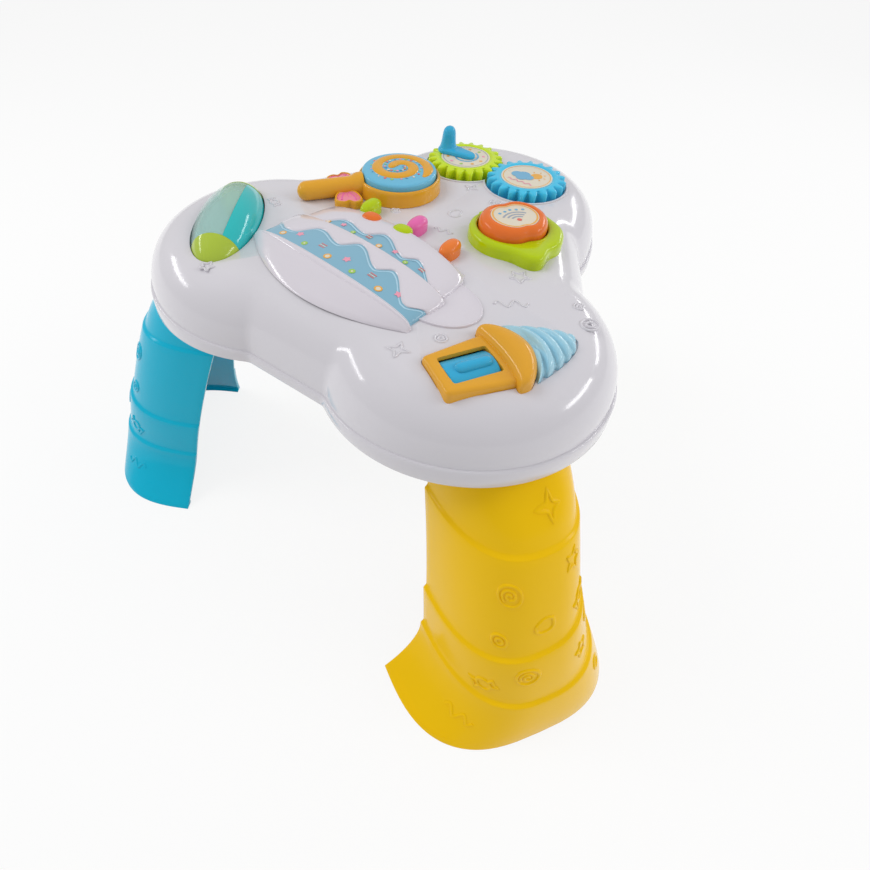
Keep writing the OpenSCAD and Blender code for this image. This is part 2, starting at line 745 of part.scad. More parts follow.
lolly_floor = 3;
lolly_flare = 1;
disc_r = lolly_r - lolly_rim - 0.6;
disc_z = top_z + lolly_floor + 0.4;
disc_edge_h = lolly_h + disc_proud - lolly_floor - 0.4;
disc_round = 2.2;
disc_dome = 1.6;
lolly_stem_end = ceiling_z - 0.5;
stick_z = top_z + stick_r - 0.8;
knot_l = 7;

module lolly_axes() {
  translate([lolly_pos.x, lolly_pos.y, 0]) rotate([0, 0, stick_angle]) children();
}

// The stick and its knot, cut level with the top
module lolly_stick(grow) {
  intersection() {
    union() {
      translate([lolly_r - 2, 0, stick_z]) rotate([0, 90, 0])
        cylinder(r = stick_r + grow, h = stick_l - lolly_r + 2 - stick_r);
      translate([stick_l - stick_r, 0, stick_z]) sphere(r = stick_r + grow);
      translate([lolly_r - 2, 0, stick_z]) rotate([0, 90, 0])
        cylinder(r1 = stick_r + 2.5 + grow, r2 = stick_r + grow, h = knot_l);
    }
    translate([0, -lolly_r, top_z - grow]) cube([stick_l, 2 * lolly_r, 3 * stick_r]);
  }
}

module lollipop_base() color("#f0a528") table_axis() lolly_axes() {
  difference() {
    union() {
      translate([0, 0, top_z]) cylinder(r1 = lolly_r + lolly_flare, r2 = lolly_r, h = lolly_h);
      lolly_stick(0);
    }
    translate([0, 0, top_z + lolly_floor]) cylinder(r = lolly_r - lolly_rim, h = 20);
    translate([0, 0, top_z - 1]) cylinder(r = spindle_r + running, h = 10);
  }
}

module lollipop_disc() color("#4fb4dc") table_axis() translate(lolly_pos) {
  difference() {
    union() {
      translate([0, 0, disc_z]) rotate_extrude() polygon(concat(
        [[0, 0], [disc_r, 0]],
        [for (a = [0:30:90]) [disc_r - disc_round * (1 - cos(a)), disc_edge_h - disc_round * (1 - sin(a))]],
        [[disc_r / 2, disc_edge_h + disc_dome * 0.75], [0, disc_edge_h + disc_dome]]
      ));
      translate([0, 0, lolly_stem_end]) cylinder(r = spindle_r, h = disc_z - lolly_stem_end + 1);
    }
    translate([0, 0, lolly_stem_end - 1]) cylinder(r = screw_r + 0.05, h = 11);
  }
}

module lollipop_screw() color("silver") table_axis()
  translate([lolly_pos.x, lolly_pos.y, lolly_stem_end]) washer_screw(9);

wing_at = 49;
wing_r = 9;
wing_t = 7;
module bow_wings() color("#f08cb4") table_axis() lolly_axes() {
  difference() {
    translate([wing_at, 0, top_z]) linear_extrude(wing_t) for (side = [-1, 1]) {
      translate([-6 + 2 * side, side * 19]) circle(r = wing_r);
      translate([7 + 2 * side, side * 17]) circle(r = wing_r - 2);
      polygon([[-4, side * (stick_r - 3)], [4, side * (stick_r - 3)], [10, side * 14], [-10, side * 14]]);
    }
    lolly_stick(0.1);
    translate([0, 0, top_z - 1]) cylinder(r = lolly_r + lolly_flare + 0.1, h = 2 * lolly_h);
  }
}

// ---------- apple ----------

apple_floor = 1.8;
apple_base_z1 = seat_z + apple_base_h;
apple_button_z0 = seat_z + apple_floor + apple_travel + 0.5;
apple_button_z1 = apple_base_z1 + apple_proud;
apple_stem_end = ceiling_z - 0.5;
spring_r = 8;
spring_wire = 0.6;
spring_turns = 4;
spring_top_z = apple_button_z1 - 5;
spring_z0 = seat_z + apple_floor;

module apple_base() color("#b9d714") table_axis() apple_axes() {
  difference() {
    union() {
      translate([0, 0, seat_z]) linear_extrude(apple_base_h - 3) apple_base_plan(0);
      loft([
        for (k = [[apple_base_h - 3 - eps, 0], [apple_base_h - 1.3, -0.7], [apple_base_h, -2.4]])
          at_height(apple_base_ring(k[1]), seat_z + k[0])
      ]);
    }
    translate([0, 0, seat_z + apple_floor]) linear_extrude(20) polygon(apple_ring(apple_button_r + 0.6, apple_steps));
    translate([0, 0, seat_z - 1]) cylinder(r = spindle_r + running, h = 10);
  }
}

module apple_button() color("#eb6428") table_axis() apple_axes() {
  h = apple_button_z1 - apple_button_z0;
  difference() {
    union() {
      loft([
        for (k = [[0, 0], [h - 6, 0], [h - 3, -0.8], [h - 1.2, -2.4], [h - 0.3, -4.6], [h, -7]])
          at_height(apple_ring(apple_button_r + k[1], apple_steps), apple_button_z0 + k[0])
      ]);
      translate([0, 0, apple_stem_end]) cylinder(r = spindle_r, h = apple_button_z0 - apple_stem_end + 1);
    }
    difference() {
      translate([0, 0, apple_button_z0 - 1]) cylinder(r = spring_r + 1.5, h = spring_top_z - apple_button_z0 + 1);
      translate([0, 0, apple_button_z0 - 5]) cylinder(r = spindle_r, h = 40);
    }
    translate([0, 0, apple_button_z1 - label_t]) linear_extrude(5) polygon(apple_ring(apple_label_r + 0.15, apple_steps));
    translate([0, 0, apple_stem_end - 1]) cylinder(r = screw_r + 0.05, h = 11);
  }
}

apple_label_r = apple_button_r - 9;
module apple_label() color("#f0e2c0") table_axis() apple_axes()
  translate([0, 0, apple_button_z1 - label_t]) linear_extrude(label_t) polygon(apple_ring(apple_label_r, apple_steps));

// Coil spring as a tube swept along a helix
module apple_spring() color("silver") table_axis() translate([apple_pos.x, apple_pos.y, 0]) {
  low = spring_z0 + spring_wire;
  rise_z = spring_top_z - spring_wire - low;
  turn_steps = 14;
  sides = 6;
  wire = [
    for (i = [0:spring_turns * turn_steps])
      let (a = 360 * i / turn_steps, z = low + rise_z * i / (spring_turns * turn_steps), c = polar_point(spring_r - 1, a))
      [
        for (k = [0:sides - 1])
          let (b = -360 * k / sides, r = spring_r - 1 + spring_wire * cos(b))
          [r * cos(a), r * sin(a), z + spring_wire * sin(b)]
      ]
  ];
  loft(wire);
}

module apple_screw() color("silver") table_axis()
  translate([apple_pos.x, apple_pos.y, apple_stem_end]) washer_screw(9);

// ---------- cake ----------

cake_steps = 20;
// One arch across the cake: y of its middle, how far its ends trail, half width and height
function arch(y, trail, half_w, h) = concat(
  [
    for (i = [0:cake_steps])
      let (a = 180 * i / cake_steps, x = -half_w * cos(a))
      [x, y + trail * pow(x / plate_half_w, 2), top_z + max(0.05, h) * pow(sin(a), 0.8) + 0.3 * sin(a)]
  ]
);
function arch_ring(y, trail, half_w, h) = [for (p = arch(y, trail, half_w, h)) [p.x, p.y, max(top_z, p.z)]];

plate_front_y = -117.5;
plate_crest_y = -90;
tier1_front_y = -87;
tier1_back_y = -47;
tier2_front_y = -45.5;
tier2_back_y = -12;
cake_end_y = -2;
dish_at = [75, -50];
dish_half = [35, 26];

module cake_body() color("#f2ecf4") table_axis() {
  // Stations from front to back: middle's y, how far the ends trail, half width, height
  stations = [
    [plate_front_y, 26, plate_half_w, 0.6],
    [(plate_front_y + plate_crest_y) / 2, 14, plate_half_w, plate_h * 0.6],
    [plate_crest_y, 2, plate_half_w, plate_h],
    [plate_crest_y + 2.5, 1, plate_half_w, plate_h],
    [tier1_front_y, 1.5, tier1_half_w, tier1_h],
    [(tier1_front_y + tier1_back_y) / 2, -1.5, tier1_half_w, tier1_h + 0.3],
    [tier1_back_y, -3, tier1_half_w, tier1_h + 0.5],
    [tier2_front_y, -3, tier2_half_w, tier2_h],
    [(tier2_front_y + tier2_back_y) / 2, -8, tier2_half_w - 1, tier2_h],
    [tier2_back_y, -14, tier2_half_w - 3, tier2_h - 0.5],
    [cake_end_y, -16, tier2_half_w - 8, 0.6]
  ];
  difference() {
    translate([cake_pos.x, cake_pos.y, 0]) rotate([0, 0, cake_angle]) {
      loft([for (s = stations) arch_ring(s[0], s[1], s[2], s[3])]);
      translate([dish_at.x, dish_at.y, top_z]) linear_extrude(dish_h) polygon(oval(dish_half.x, dish_half.y, 2, 36));
    }
    translate([0, 0, top_z - 5]) slots(gap, 30);
  }
}

button_z1 = top_z + button_h;
button_dome = 6;
// Press button with a flange under the top; side says which way the flange reaches
module press_button(place, w, l, side) {
  z0 = button_flange_z - flange_t;
  wide = slot_plan(w - 0.4, l + 2 * flange_out, 0);
  flange = [for (p = wide) [p.x, p.y + side * flange_out]];
  body = slot_plan(w, l, 0);
  translate([place.x, place.y, 0]) loft(concat(
    [at_height(flange, z0), at_height(flange, button_flange_z), at_height(body, button_flange_z + eps)],
    [
      for (a = [0, 25, 45, 65, 82])
        at_height(scaled(body, [1, 1] * (1 - 0.85 * (1 - cos(a)))), button_z1 - button_dome * (1 - sin(a)))
    ]
  ));
}

module green_candle_button() color("#a5d732") table_axis() press_button(candle_places[0], candle_w, candle_l, 1);
module pink_candle_button() color("#f082aa") table_axis() press_button(candle_places[1], candle_w, candle_l, 1);
module orange_candle_button() color("#f08c3c") table_axis() press_button(candle_places[2], candle_w, candle_l, 1);
module red_fruit_button() color("#eb6450") table_axis() press_button(fruit_places[0], fruit_w, fruit_l, -1);
module green_fruit_button() color("#a5d732") table_axis() press_button(fruit_places[1], fruit_w, fruit_l, -1);

pad_r = 3.6;
module rubber_pad(place) {
  h = button_flange_z - flange_t - board_top_z;
  translate([place.x, place.y, board_top_z]) cylinder(r1 = pad_r, r2 = pad_r - 1, h = h);
}

module green_candle_pad() color("#555555") table_axis() rubber_pad(candle_places[0]);
module pink_candle_pad() color("#555555") table_axis() rubber_pad(candle_places[1]);
module orange_candle_pad() color("#555555") table_axis() rubber_pad(candle_places[2]);
module red_fruit_pad() color("#555555") table_axis() rubber_pad(fruit_places[0]);
module green_fruit_pad() color("#555555") table_axis() rubber_pad(fruit_places[1]);

// ---------- ice cream ----------

frame_z1 = seat_z + cone_h;
rocker_z = frame_z1 + 0.3 - rocker_r;
rocker_spread = asin(rocker_half_w / rocker_r) + rocker_tilt;
// The opening under the rocker is as wide as the rocker at rest, and stays under the cone's rim
rocker_opening = 2 * min(rocker_r * sin(rocker_spread) + gap, cone_tip_w - 1.25);
pin_r = 2;

// Edge of the swirl: side is -1 or 1, and t runs from the collar to the tip
swirl_turns = 4.5;
swirl_tip_x = collar_front + swirl_l;
swirl_h = 13;
function swirl_half(t) = max(1.2, (collar_half_w - 3.5) * pow(1 - t, 0.62) * (1 + 0.05 * sin(360 * swirl_turns * t)));
function swirl_x(y, t) = (collar_out(y) + gap) * (1 - t) + swirl_tip_x * t;
function swirl_edge(t, side) = let (y = side * swirl_half(t)) [swirl_x(y, t), y];
swirl_stations = 18;
function swirl_plan() =
  let (steps = swirl_stations)
  concat(
    [for (i = [0:steps]) swirl_edge(i / steps, -1)],
    [for (i = [steps:-1:0]) swirl_edge(i / steps, 1)]
  );

// The cone's body reaches down over the shoulder of the moulded top
foot_drop = 7;
module cone_body() {
  bevel = 2;
  translate([0, 0, seat_z - foot_drop]) linear_extrude(foot_drop + cone_h - bevel) polygon(cone_plan);
  translate([0, 0, frame_z1 - bevel - eps]) linear_extrude(bevel) offset(delta = -bevel) polygon(cone_plan);
}

// Rolled collar with a rounded top
module collar_body() {
  mid = [(collar_x + collar_front) / 2, 0];
  loft([
    for (k = [[-foot_drop, 1], [0.45 * collar_h, 1], [0.7 * collar_h, 0.93], [0.88 * collar_h, 0.8], [collar_h, 0.5]])
      at_height([for (p = collar_plan) mid + (p - mid) * k[1]], seat_z + k[0])
  ]);
}

module ice_cream_frame() color("#f0a528") table_axis() difference() {
  union() {
    difference() {
      ice_axes() {
        cone_body();
        collar_body();
      }
      shoulder_block(0.05);
    }
    ice_axes() for (side = [-1, 1])
      translate([window_x + side * (ear_x - ear_t / 2) - ear_t / 2, -ear_half_w, rocker_z - 5])
        cube([ear_t, 2 * ear_half_w, seat_z - rocker_z + 6]);
  }
  ice_axes() translate([window_x, 0, rocker_z]) {
    translate([-rocker_l / 2 - gap, -rocker_half_w - gap, 0])
      cube([rocker_l + 2 * gap, 2 * (rocker_half_w + gap), 2 * rocker_r]);
    translate([-rocker_l / 2 - gap, 0, 0]) rotate([0, 90, 0]) cylinder(r = rocker_r + gap, h = rocker_l + 2 * gap);
    translate([-ear_x - 1, 0, 0]) rotate([0, 90, 0]) cylinder(r = pin_r + 0.05, h = 2 * ear_x + 2);
  }
}

// Soft-serve swirl: arched sections that shrink to the tip, with slanting grooves
module ice_cream_swirl() color("#4fb4dc") table_axis() ice_axes() difference() {
  arch_steps = 12;
  loft([
    for (i = [0:swirl_stations])
      let (t = i / swirl_stations, w = swirl_half(t), h = swirl_h * pow(1 - t, 0.45) + 1)
      [
        for (j = [0:arch_steps])
          let (
            a = 180 * j / arch_steps,
            y = w * cos(a),
            groove = pow(0.5 + 0.5 * cos(360 * (swirl_turns * t + y / 60)), 3)
          )
          [swirl_x(y, t), y, seat_z + h * pow(sin(a), 0.6) * (1 - 0.3 * groove)]
      ]
  ]);
  translate([0, 0, seat_z - 1]) linear_extrude(collar_h + 5) offset(delta = gap) polygon(collar_plan);
}

// Rocker: a sector of a barrel on a hub, with a ridge for the finger
module ice_cream_rocker() color("#3ca5d7") table_axis() ice_axes() translate([window_x - rocker_l / 2, 0, rocker_z]) {
  ridge_w = 4;
  ridge_h = 3.5;
  difference() {
    union() {
      rotate([0, 90, 0]) linear_extrude(rocker_l) polygon(concat(
        [[0, 0]],
        [for (a = [-1:0.1:1]) polar_point(rocker_r, 180 + rocker_spread * a)]
      ));
      rotate([0, 90, 0]) cylinder(r = pin_r + 2.5, h = rocker_l);
      hull() {
        translate([4, 0, rocker_r - 2]) cylinder(r = ridge_w / 2, h = ridge_h + 2, $fn = 24);
        translate([rocker_l - 4, 0, rocker_r - 2]) cylinder(r = ridge_w / 2, h = ridge_h + 2, $fn = 24);
      }
    }
    translate([-1, 0, 0]) rotate([0, 90, 0]) cylinder(r = pin_r + running, h = rocker_l + 2);
  }
}

module rocker_pin() color("silver") table_axis() ice_axes()
  translate([window_x - ear_x, 0, rocker_z]) rotate([0, 90, 0]) cylinder(r = pin_r, h = 2 * ear_x);

// ---------- roller drum ----------

function drum_radius(s) = drum_r * sqrt(max(0, 1 - pow(s / drum_half_l, 2)));
function drum_curve(s0, s1, steps, grow) = [
  for (i = [0:steps]) let (s = s0 + (s1 - s0) * i / steps) [drum_radius(s) + grow, s]
];
boss_r = axle_r + 1.2;

module drum_cap_profile() {
  polygon(concat(
    [[axle_r + running, drum_mid]],
    drum_curve(drum_mid, drum_half_l - 2, 8, 0),
    [[axle_r + running, drum_half_l - 1.5]]
  ));
}

module roller_caps() color("#b9d714") table_axis() drum_axes() for (m = [0, 1]) mirror([0, 0, m]) rotate_extrude()
  drum_cap_profile();

drum_wall = 2;
// How far the seam between the two halves has turned from the drum's outer side
seam_turn = 15;
module drum_half_shell(start) {
  rotate([0, 0, start]) rotate_extrude(angle = 179.4) polygon(concat(
    drum_curve(-drum_mid + 0.05, drum_mid - 0.05, 8, 0),
    [for (p = drum_curve(drum_mid - 0.05, -drum_mid + 0.05, 8, -drum_wall)) p]
  ));
}

module roller_teal_shell() color("#28a0a0") table_axis() drum_axes() drum_half_shell(seam_turn + 180.3);
module roller_clear_shell() color([0.8, 0.9, 0.95, 0.5]) table_axis() drum_axes() drum_half_shell(seam_turn + 0.3);
module roller_axle() color("silver") table_axis() drum_axes()
  translate([0, 0, -drum_half_l - 4]) cylinder(r = axle_r, h = 2 * drum_half_l + 8);

bead_r = 4;
bead_pitch = 9;
module roller_beads() color("#f08c3c") table_axis() drum_axes()
  for (s = [-4:4])
    translate([drum_radius(abs(s) * bead_pitch + bead_r) - drum_wall - bead_r - 0.2, 0, bead_pitch * s])
      sphere(r = bead_r, $fn = 24);

module roller_cradle() color("#e6e3ee") table_axis() intersection() {
  end_l = drum_half_l + drum_gap;
  difference() {
    union() {
      drum_axes() rotate_extrude() polygon(cradle_curve(drum_gap + cradle_wall));
      drum_axes() for (m = [0, 1]) mirror([0, 0, m]) translate([0, 0, end_l - 2]) cylinder(r = boss_r, h = 5);
      drum_plan() translate([0, 0, ceiling_z - gap - 2]) linear_extrude(2)
        polygon(oval(end_l + 2, drum_r + drum_gap + 5, 2, 48));
    }
    drum_axes() rotate_extrude() polygon(cradle_curve(drum_gap));
    drum_axes() translate([0, 0, -end_l - 10]) cylinder(r = axle_r + 0.05, h = 2 * end_l + 20);
  }
  shell_room(gap);
}
function cradle_curve(grow) = [
  for (a = [-90:7.5:90]) [(drum_r + grow) * cos(a), (drum_half_l + grow) * sin(a)]
];

// ---------- inside and underneath ----------

module circuit_board() color("#2f7d4f") table_axis() {
  difference() {
    translate([board_pos.x - board_half.x, board_pos.y - board_half.y, board_top_z - board_t])
      cube([2 * board_half.x, 2 * board_half.y, board_t]);
    at_each(board_posts) translate([0, 0, board_top_z - 5]) cylinder(r = screw_r + 0.1, h = 10);
  }
}

module board_screws() color("silver") table_axis()
  at_each(board_posts) translate([0, 0, board_top_z - board_t - 1.6]) small_screw(board_t + 6, 1.6);

module speaker() color("#444444") table_axis() translate([speaker_pos.x, speaker_pos.y, tray_top_z]) {
  difference() {
    union() {
      cylinder(r = speaker_r, h = 3);
      translate([0, 0, 3 - eps]) cylinder(r1 = speaker_r - 4, r2 = speaker_r / 2, h = 8);
      translate([0, 0, 10.5]) cylinder(r = speaker_r / 2, h = 6);
    }
    translate([0, 0, -eps]) cylinder(r1 = speaker_r - 3, r2 = 6, h = 7);
  }
}

module battery_box() color("#dedbe6") table_axis() translate([battery_pos.x, battery_pos.y, tray_z]) {
  difference() {
    translate([-box_out.x / 2, -box_out.y / 2, 0]) cube([box_out.x, box_out.y, box_out.z + door_t]);
    translate([-box_in.x / 2, -box_in.y / 2, -1]) cube([box_in.x, box_in.y, box_in.z + door_t + 1]);
  }
}

module battery_door() color("#dedbe6") table_axis() translate([battery_pos.x, battery_pos.y, tray_z]) {
  slot = 0.25;
  translate([-box_in.x / 2 + slot, -box_in.y / 2 + slot, 0]) cube([box_in.x - 2 * slot, box_in.y - 2 * slot, door_t - 0.3]);
}

module aa_batteries() color("#c09040") table_axis() translate([battery_pos.x, battery_pos.y, tray_z + door_t + cell_r + 0.1])
  for (i = [0:cell_count - 1])
    translate([(i - (cell_count - 1) / 2) * (2 * cell_r + 0.6), 0, 0]) rotate([90, 0, 0]) {
      translate([0, 0, -cell_l / 2]) cylinder(r = cell_r, h = cell_l - 1);
      translate([0, 0, cell_l / 2 - 1 - eps]) cylinder(r = 2.6, h = 1);
    }

module battery_contacts() color("silver") table_axis() translate([battery_pos.x, battery_pos.y, tray_z + door_t + cell_r + 0.1])
  for (i = [0:cell_count - 1]) for (side = [-1, 1])
    translate([(i - (cell_count - 1) / 2) * (2 * cell_r + 0.6), side * (cell_l / 2 + contact_t / 2 + 0.05), 0]) rotate([90, 0, 0])
      translate([0, 0, -contact_t / 2]) cylinder(r = cell_r - 2, h = contact_t);

module power_switch() color("#eb6428") table_axis() translate([switch_pos.x - switch_travel / 2, switch_pos.y, 0]) {
  knob_l = switch_slot.x - switch_travel - 1;
  translate([-knob_l / 2, -switch_slot.y / 2 + gap, tray_z - 0.6]) cube([knob_l, switch_slot.y - 2 * gap, tray_t + 1.4]);
  translate([-knob_l / 2 - 2, -switch_slot.y / 2 - 2, tray_top_z + gap]) cube([knob_l + 4, switch_slot.y + 4, 3]);
}

top_shell();
base_tray();
turquoise_leg();
yellow_leg();
lime_leg();
lime_gear();
blue_gear();
lime_gear_label();
blue_gear_label();
lime_gear_screw();
blue_gear_screw();
crank_handle();
lollipop_base();
lollipop_disc();
lollipop_screw();
bow_wings();
apple_base();
apple_button();
apple_label();
apple_spring();
apple_screw();
cake_body();
green_candle_button();
pink_candle_button();
orange_candle_button();
red_fruit_button();
green_fruit_button();
green_candle_pad();
pink_candle_pad();
orange_candle_pad();
red_fruit_pad();
green_fruit_pad();
ice_cream_frame();
ice_cream_swirl();
ice_cream_rocker();
rocker_pin();
roller_cradle();
roller_axle();
roller_caps();
roller_teal_shell();
roller_clear_shell();
roller_beads();
circuit_board();
board_screws();
speaker();
battery_box();
battery_door();
aa_batteries();
battery_contacts();
power_switch();
tray_screws();
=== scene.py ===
import math
import random
import bpy
import bmesh
from math import cos, sin, pi, radians, hypot, atan2
from mathutils import Matrix, Vector


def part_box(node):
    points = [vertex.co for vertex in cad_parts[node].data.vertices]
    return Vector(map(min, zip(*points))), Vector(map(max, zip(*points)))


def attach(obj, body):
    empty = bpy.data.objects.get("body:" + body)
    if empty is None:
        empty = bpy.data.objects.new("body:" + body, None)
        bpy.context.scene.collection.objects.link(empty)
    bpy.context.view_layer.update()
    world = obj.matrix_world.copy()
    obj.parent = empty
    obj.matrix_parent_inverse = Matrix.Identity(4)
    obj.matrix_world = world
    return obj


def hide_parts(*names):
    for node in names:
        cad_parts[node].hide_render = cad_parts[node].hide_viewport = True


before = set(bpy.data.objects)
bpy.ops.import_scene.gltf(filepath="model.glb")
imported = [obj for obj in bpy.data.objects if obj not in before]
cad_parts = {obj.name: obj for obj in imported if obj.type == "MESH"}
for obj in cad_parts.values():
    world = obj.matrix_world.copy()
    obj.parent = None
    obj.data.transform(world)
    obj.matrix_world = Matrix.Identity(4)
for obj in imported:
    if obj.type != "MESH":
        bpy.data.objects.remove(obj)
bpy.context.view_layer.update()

dice = random.Random(7)
mm = 0.001

# main sizes in millimetres, round the table's own axis
table = {
    "lobeD": 110, "lobeR": 110, "sideD": 149, "hollowR": 12,
    "skirtZ": 235, "shellH": 55.5, "wall": 2.5,
    "lipLobe": 15, "lipSide": 9, "lipStep": 2.5, "shoulderW": 36,
    "seatDepth": 1.5, "gap": 0.35,
}
topZ = table["skirtZ"] + table["shellH"]
ceilingZ = topZ - table["wall"]
seatZ = topZ - table["seatDepth"]
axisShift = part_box("top_shell")[1].y - (table["lobeD"] + table["lobeR"]) * mm


def tablePoint(x, y, z):
    return Vector((x * mm, y * mm + axisShift, z * mm))


def placeAt(x, y, angle):
    c, s = cos(radians(angle)), sin(radians(angle))
    return lambda u, v, z: tablePoint(x + u * c - v * s, y + u * s + v * c, z)


def polar(r, a):
    return (r * cos(radians(a)), r * sin(radians(a)))


def polarRad(r, a):  # the same with the angle in radians
    return r * cos(a), r * sin(a)


def turnPoint(p, a):
    c, s = cos(radians(a)), sin(radians(a))
    return p[0] * c - p[1] * s, p[0] * s + p[1] * c


def ease(x):
    x = max(0.0, min(1.0, x))
    return x * x * (3 - 2 * x)


def mix(a, b, t):
    return a + (b - a) * t


# main camera: angles in degrees, place in millimetres, focal length and centre in pixels of its frame
view = {"azimuth": 38.94, "elevation": 48.97, "place": (250.8, -362.6, 540.6),
        "focal": 594.94, "frameWidth": 870, "centre": (366.57, 442.6), "sensor": 36.0}


def makeCamera():
    az, el = radians(view["azimuth"]), radians(view["elevation"])
    back = Vector((sin(az) * cos(el), -cos(az) * cos(el), sin(el)))
    right = Vector((cos(az), sin(az), 0))
    up = back.cross(right)
    turn = Matrix((right, up, back)).transposed().to_4x4()
    data = bpy.data.cameras.new("mainCamera")
    data.sensor_width = view["sensor"]
    data.lens = view["sensor"] * view["focal"] / view["frameWidth"]
    data.shift_x = 0.5 - view["centre"][0] / view["frameWidth"]
    data.shift_y = view["centre"][1] / view["frameWidth"] - 0.5
    data.clip_start = 0.01
    cam = bpy.data.objects.new("mainCamera", data)
    cam.matrix_world = Matrix.Translation(tablePoint(*view["place"])) @ turn
    bpy.context.scene.collection.objects.link(cam)
    bpy.context.scene.camera = cam


# lamps: place, size and power, and whether the gloss shows them
studio = {
    "world": 0.55, "floorGlow": 0.85, "floorTone": (0.9, 0.9, 0.9), "floorHalf": 12,
    "lamps": {
        "softKey": ((-0.9, -0.7, 1.5), (0.9, 0.7), 8.5, False),
        "softFill": ((1.2, 0.4, 1.2), (0.8, 0.8), 5.0, False),
        "stripLeft": ((-1.35, -0.62, 0.95), (0.95, 0.14), 2.6, True),
        "stripRight": ((1.35, 0.75, 0.85), (0.8, 0.14), 2.6, True),
        "stripBack": ((0.45, 1.45, 0.8), (1.0, 0.12), 2.2, True),
    },
}


def areaLight(name, place, size, power, inGloss):
    data = bpy.data.lights.new(name, "AREA")
    data.shape = "RECTANGLE"
    data.size, data.size_y = size
    data.energy = power
    lamp = bpy.data.objects.new(name, data)
    lamp.location = place
    lamp.rotation_euler = (Vector((0, 0, 0.2)) - Vector(place)).to_track_quat("-Z", "Y").to_euler()
    lamp.visible_glossy = inGloss
    bpy.context.scene.collection.objects.link(lamp)


def addNode(tree, kind, values=None, **settings):
    node = tree.nodes.new("ShaderNode" + kind)
    for key, value in settings.items():
        setattr(node, key, value)
    for key, value in (values or {}).items():
        node.inputs[key].default_value = value
    return node


def wire(tree, *wires):  # each wire: node and output, node and input
    for start, output, end, socket in wires:
        tree.links.new(start.outputs[output], end.inputs[socket])


def floorFinish():
    mat = bpy.data.materials.new("studioFloor")
    mat.use_nodes = True
    tree = mat.node_tree
    tree.nodes.clear()
    out = addNode(tree, "OutputMaterial")
    diffuse = addNode(tree, "BsdfDiffuse", {"Color": (*studio["floorTone"], 1)})
    glow = addNode(tree, "Emission")
    rays = addNode(tree, "LightPath")
    seen = addNode(tree, "Math", operation="MAXIMUM")
    share = addNode(tree, "Math", {1: studio["floorGlow"]}, operation="MULTIPLY")
    blend = addNode(tree, "MixShader")
    wire(tree, (rays, "Is Camera Ray", seen, 0), (rays, "Is Glossy Ray", seen, 1), (seen, 0, share, 0),
         (share, 0, blend, 0), (diffuse, 0, blend, 1), (glow, 0, blend, 2), (blend, 0, out, "Surface"))
    return mat


def makeStudio():
    scene = bpy.context.scene
    scene.view_settings.view_transform = "Standard"
    world = bpy.data.worlds.new("studioWorld")
    world.use_nodes = True
    scene.world = world
    world.node_tree.nodes["Background"].inputs["Color"].default_value = (1, 1, 1, 1)
    world.node_tree.nodes["Background"].inputs["Strength"].default_value = studio["world"]
    for name, spec in studio["lamps"].items():
        areaLight(name, *spec)
    mesh = bpy.data.meshes.new("studioFloor")
    r = studio["floorHalf"]
    mesh.from_pydata([(-r, -r, 0), (r, -r, 0), (r, r, 0), (-r, r, 0)], [], [(0, 1, 2, 3)])
    floor = bpy.data.objects.new("studioFloor", mesh)
    mesh.materials.append(floorFinish())
    scene.collection.objects.link(floor)


makeCamera()
makeStudio()
print("camera and studio ready")


def newGroup(name, inputs, outputs):
    group = bpy.data.node_groups.new(name, "ShaderNodeTree")
    for label, kind, value in inputs:
        socket = group.interface.new_socket(label, in_out="INPUT", socket_type=kind)
        socket.default_value = value
    for label, kind in outputs:
        group.interface.new_socket(label, in_out="OUTPUT", socket_type=kind)
    return group, group.nodes.new("NodeGroupInput"), group.nodes.new("NodeGroupOutput")


def mouldedPlasticGroup():
    group, source, sink = newGroup(
        "mouldedPlastic",
        [("Colour", "NodeSocketColor", (0.8, 0.8, 0.8, 1)), ("Shade Variation", "NodeSocketFloat", 0.04),
         ("Roughness", "NodeSocketFloat", 0.2), ("Flow Scale", "NodeSocketFloat", 9.0),
         ("Ripple", "NodeSocketFloat", 0.06)],
        [("Colour", "NodeSocketColor"), ("Roughness", "NodeSocketFloat"), ("Normal", "NodeSocketVector")])
    place = addNode(group, "TexCoord")
    flow = addNode(group, "TexNoise", {"Detail": 3})  # slow drift of the pigment
    centred = addNode(group, "Math", {1: 0.5}, operation="SUBTRACT")
    drift = addNode(group, "Math", {2: 1.0}, operation="MULTIPLY_ADD")
    shade = addNode(group, "HueSaturation")
    wire(group, (place, "Object", flow, "Vector"), (source, "Flow Scale", flow, "Scale"),
         (flow, "Fac", centred, 0), (centred, 0, drift, 0), (source, "Shade Variation", drift, 1),
         (drift, 0, shade, "Value"), (source, "Colour", shade, "Color"), (shade, "Color", sink, "Colour"))
    smear = addNode(group, "TexNoise", {"Scale": 38, "Detail": 4})  # handling marks in the gloss
    gloss = addNode(group, "MapRange", {"From Min": 0.3, "From Max": 0.75, "To Min": -0.03, "To Max": 0.06})
    rough = addNode(group, "Math", operation="ADD")
    wire(group, (place, "Object", smear, "Vector"), (smear, "Fac", gloss, "Value"),
         (gloss, "Result", rough, 0), (source, "Roughness", rough, 1), (rough, 0, sink, "Roughness"))
    peel = addNode(group, "TexNoise", {"Scale": 260, "Detail": 2})  # faint orange peel from the mould
    bump = addNode(group, "Bump", {"Distance": 0.0006})
    wire(group, (place, "Object", peel, "Vector"), (source, "Ripple", bump, "Strength"),
         (peel, "Fac", bump, "Height"), (bump, "Normal", sink, "Normal"))
    return group


mouldedPlastic = mouldedPlasticGroup()


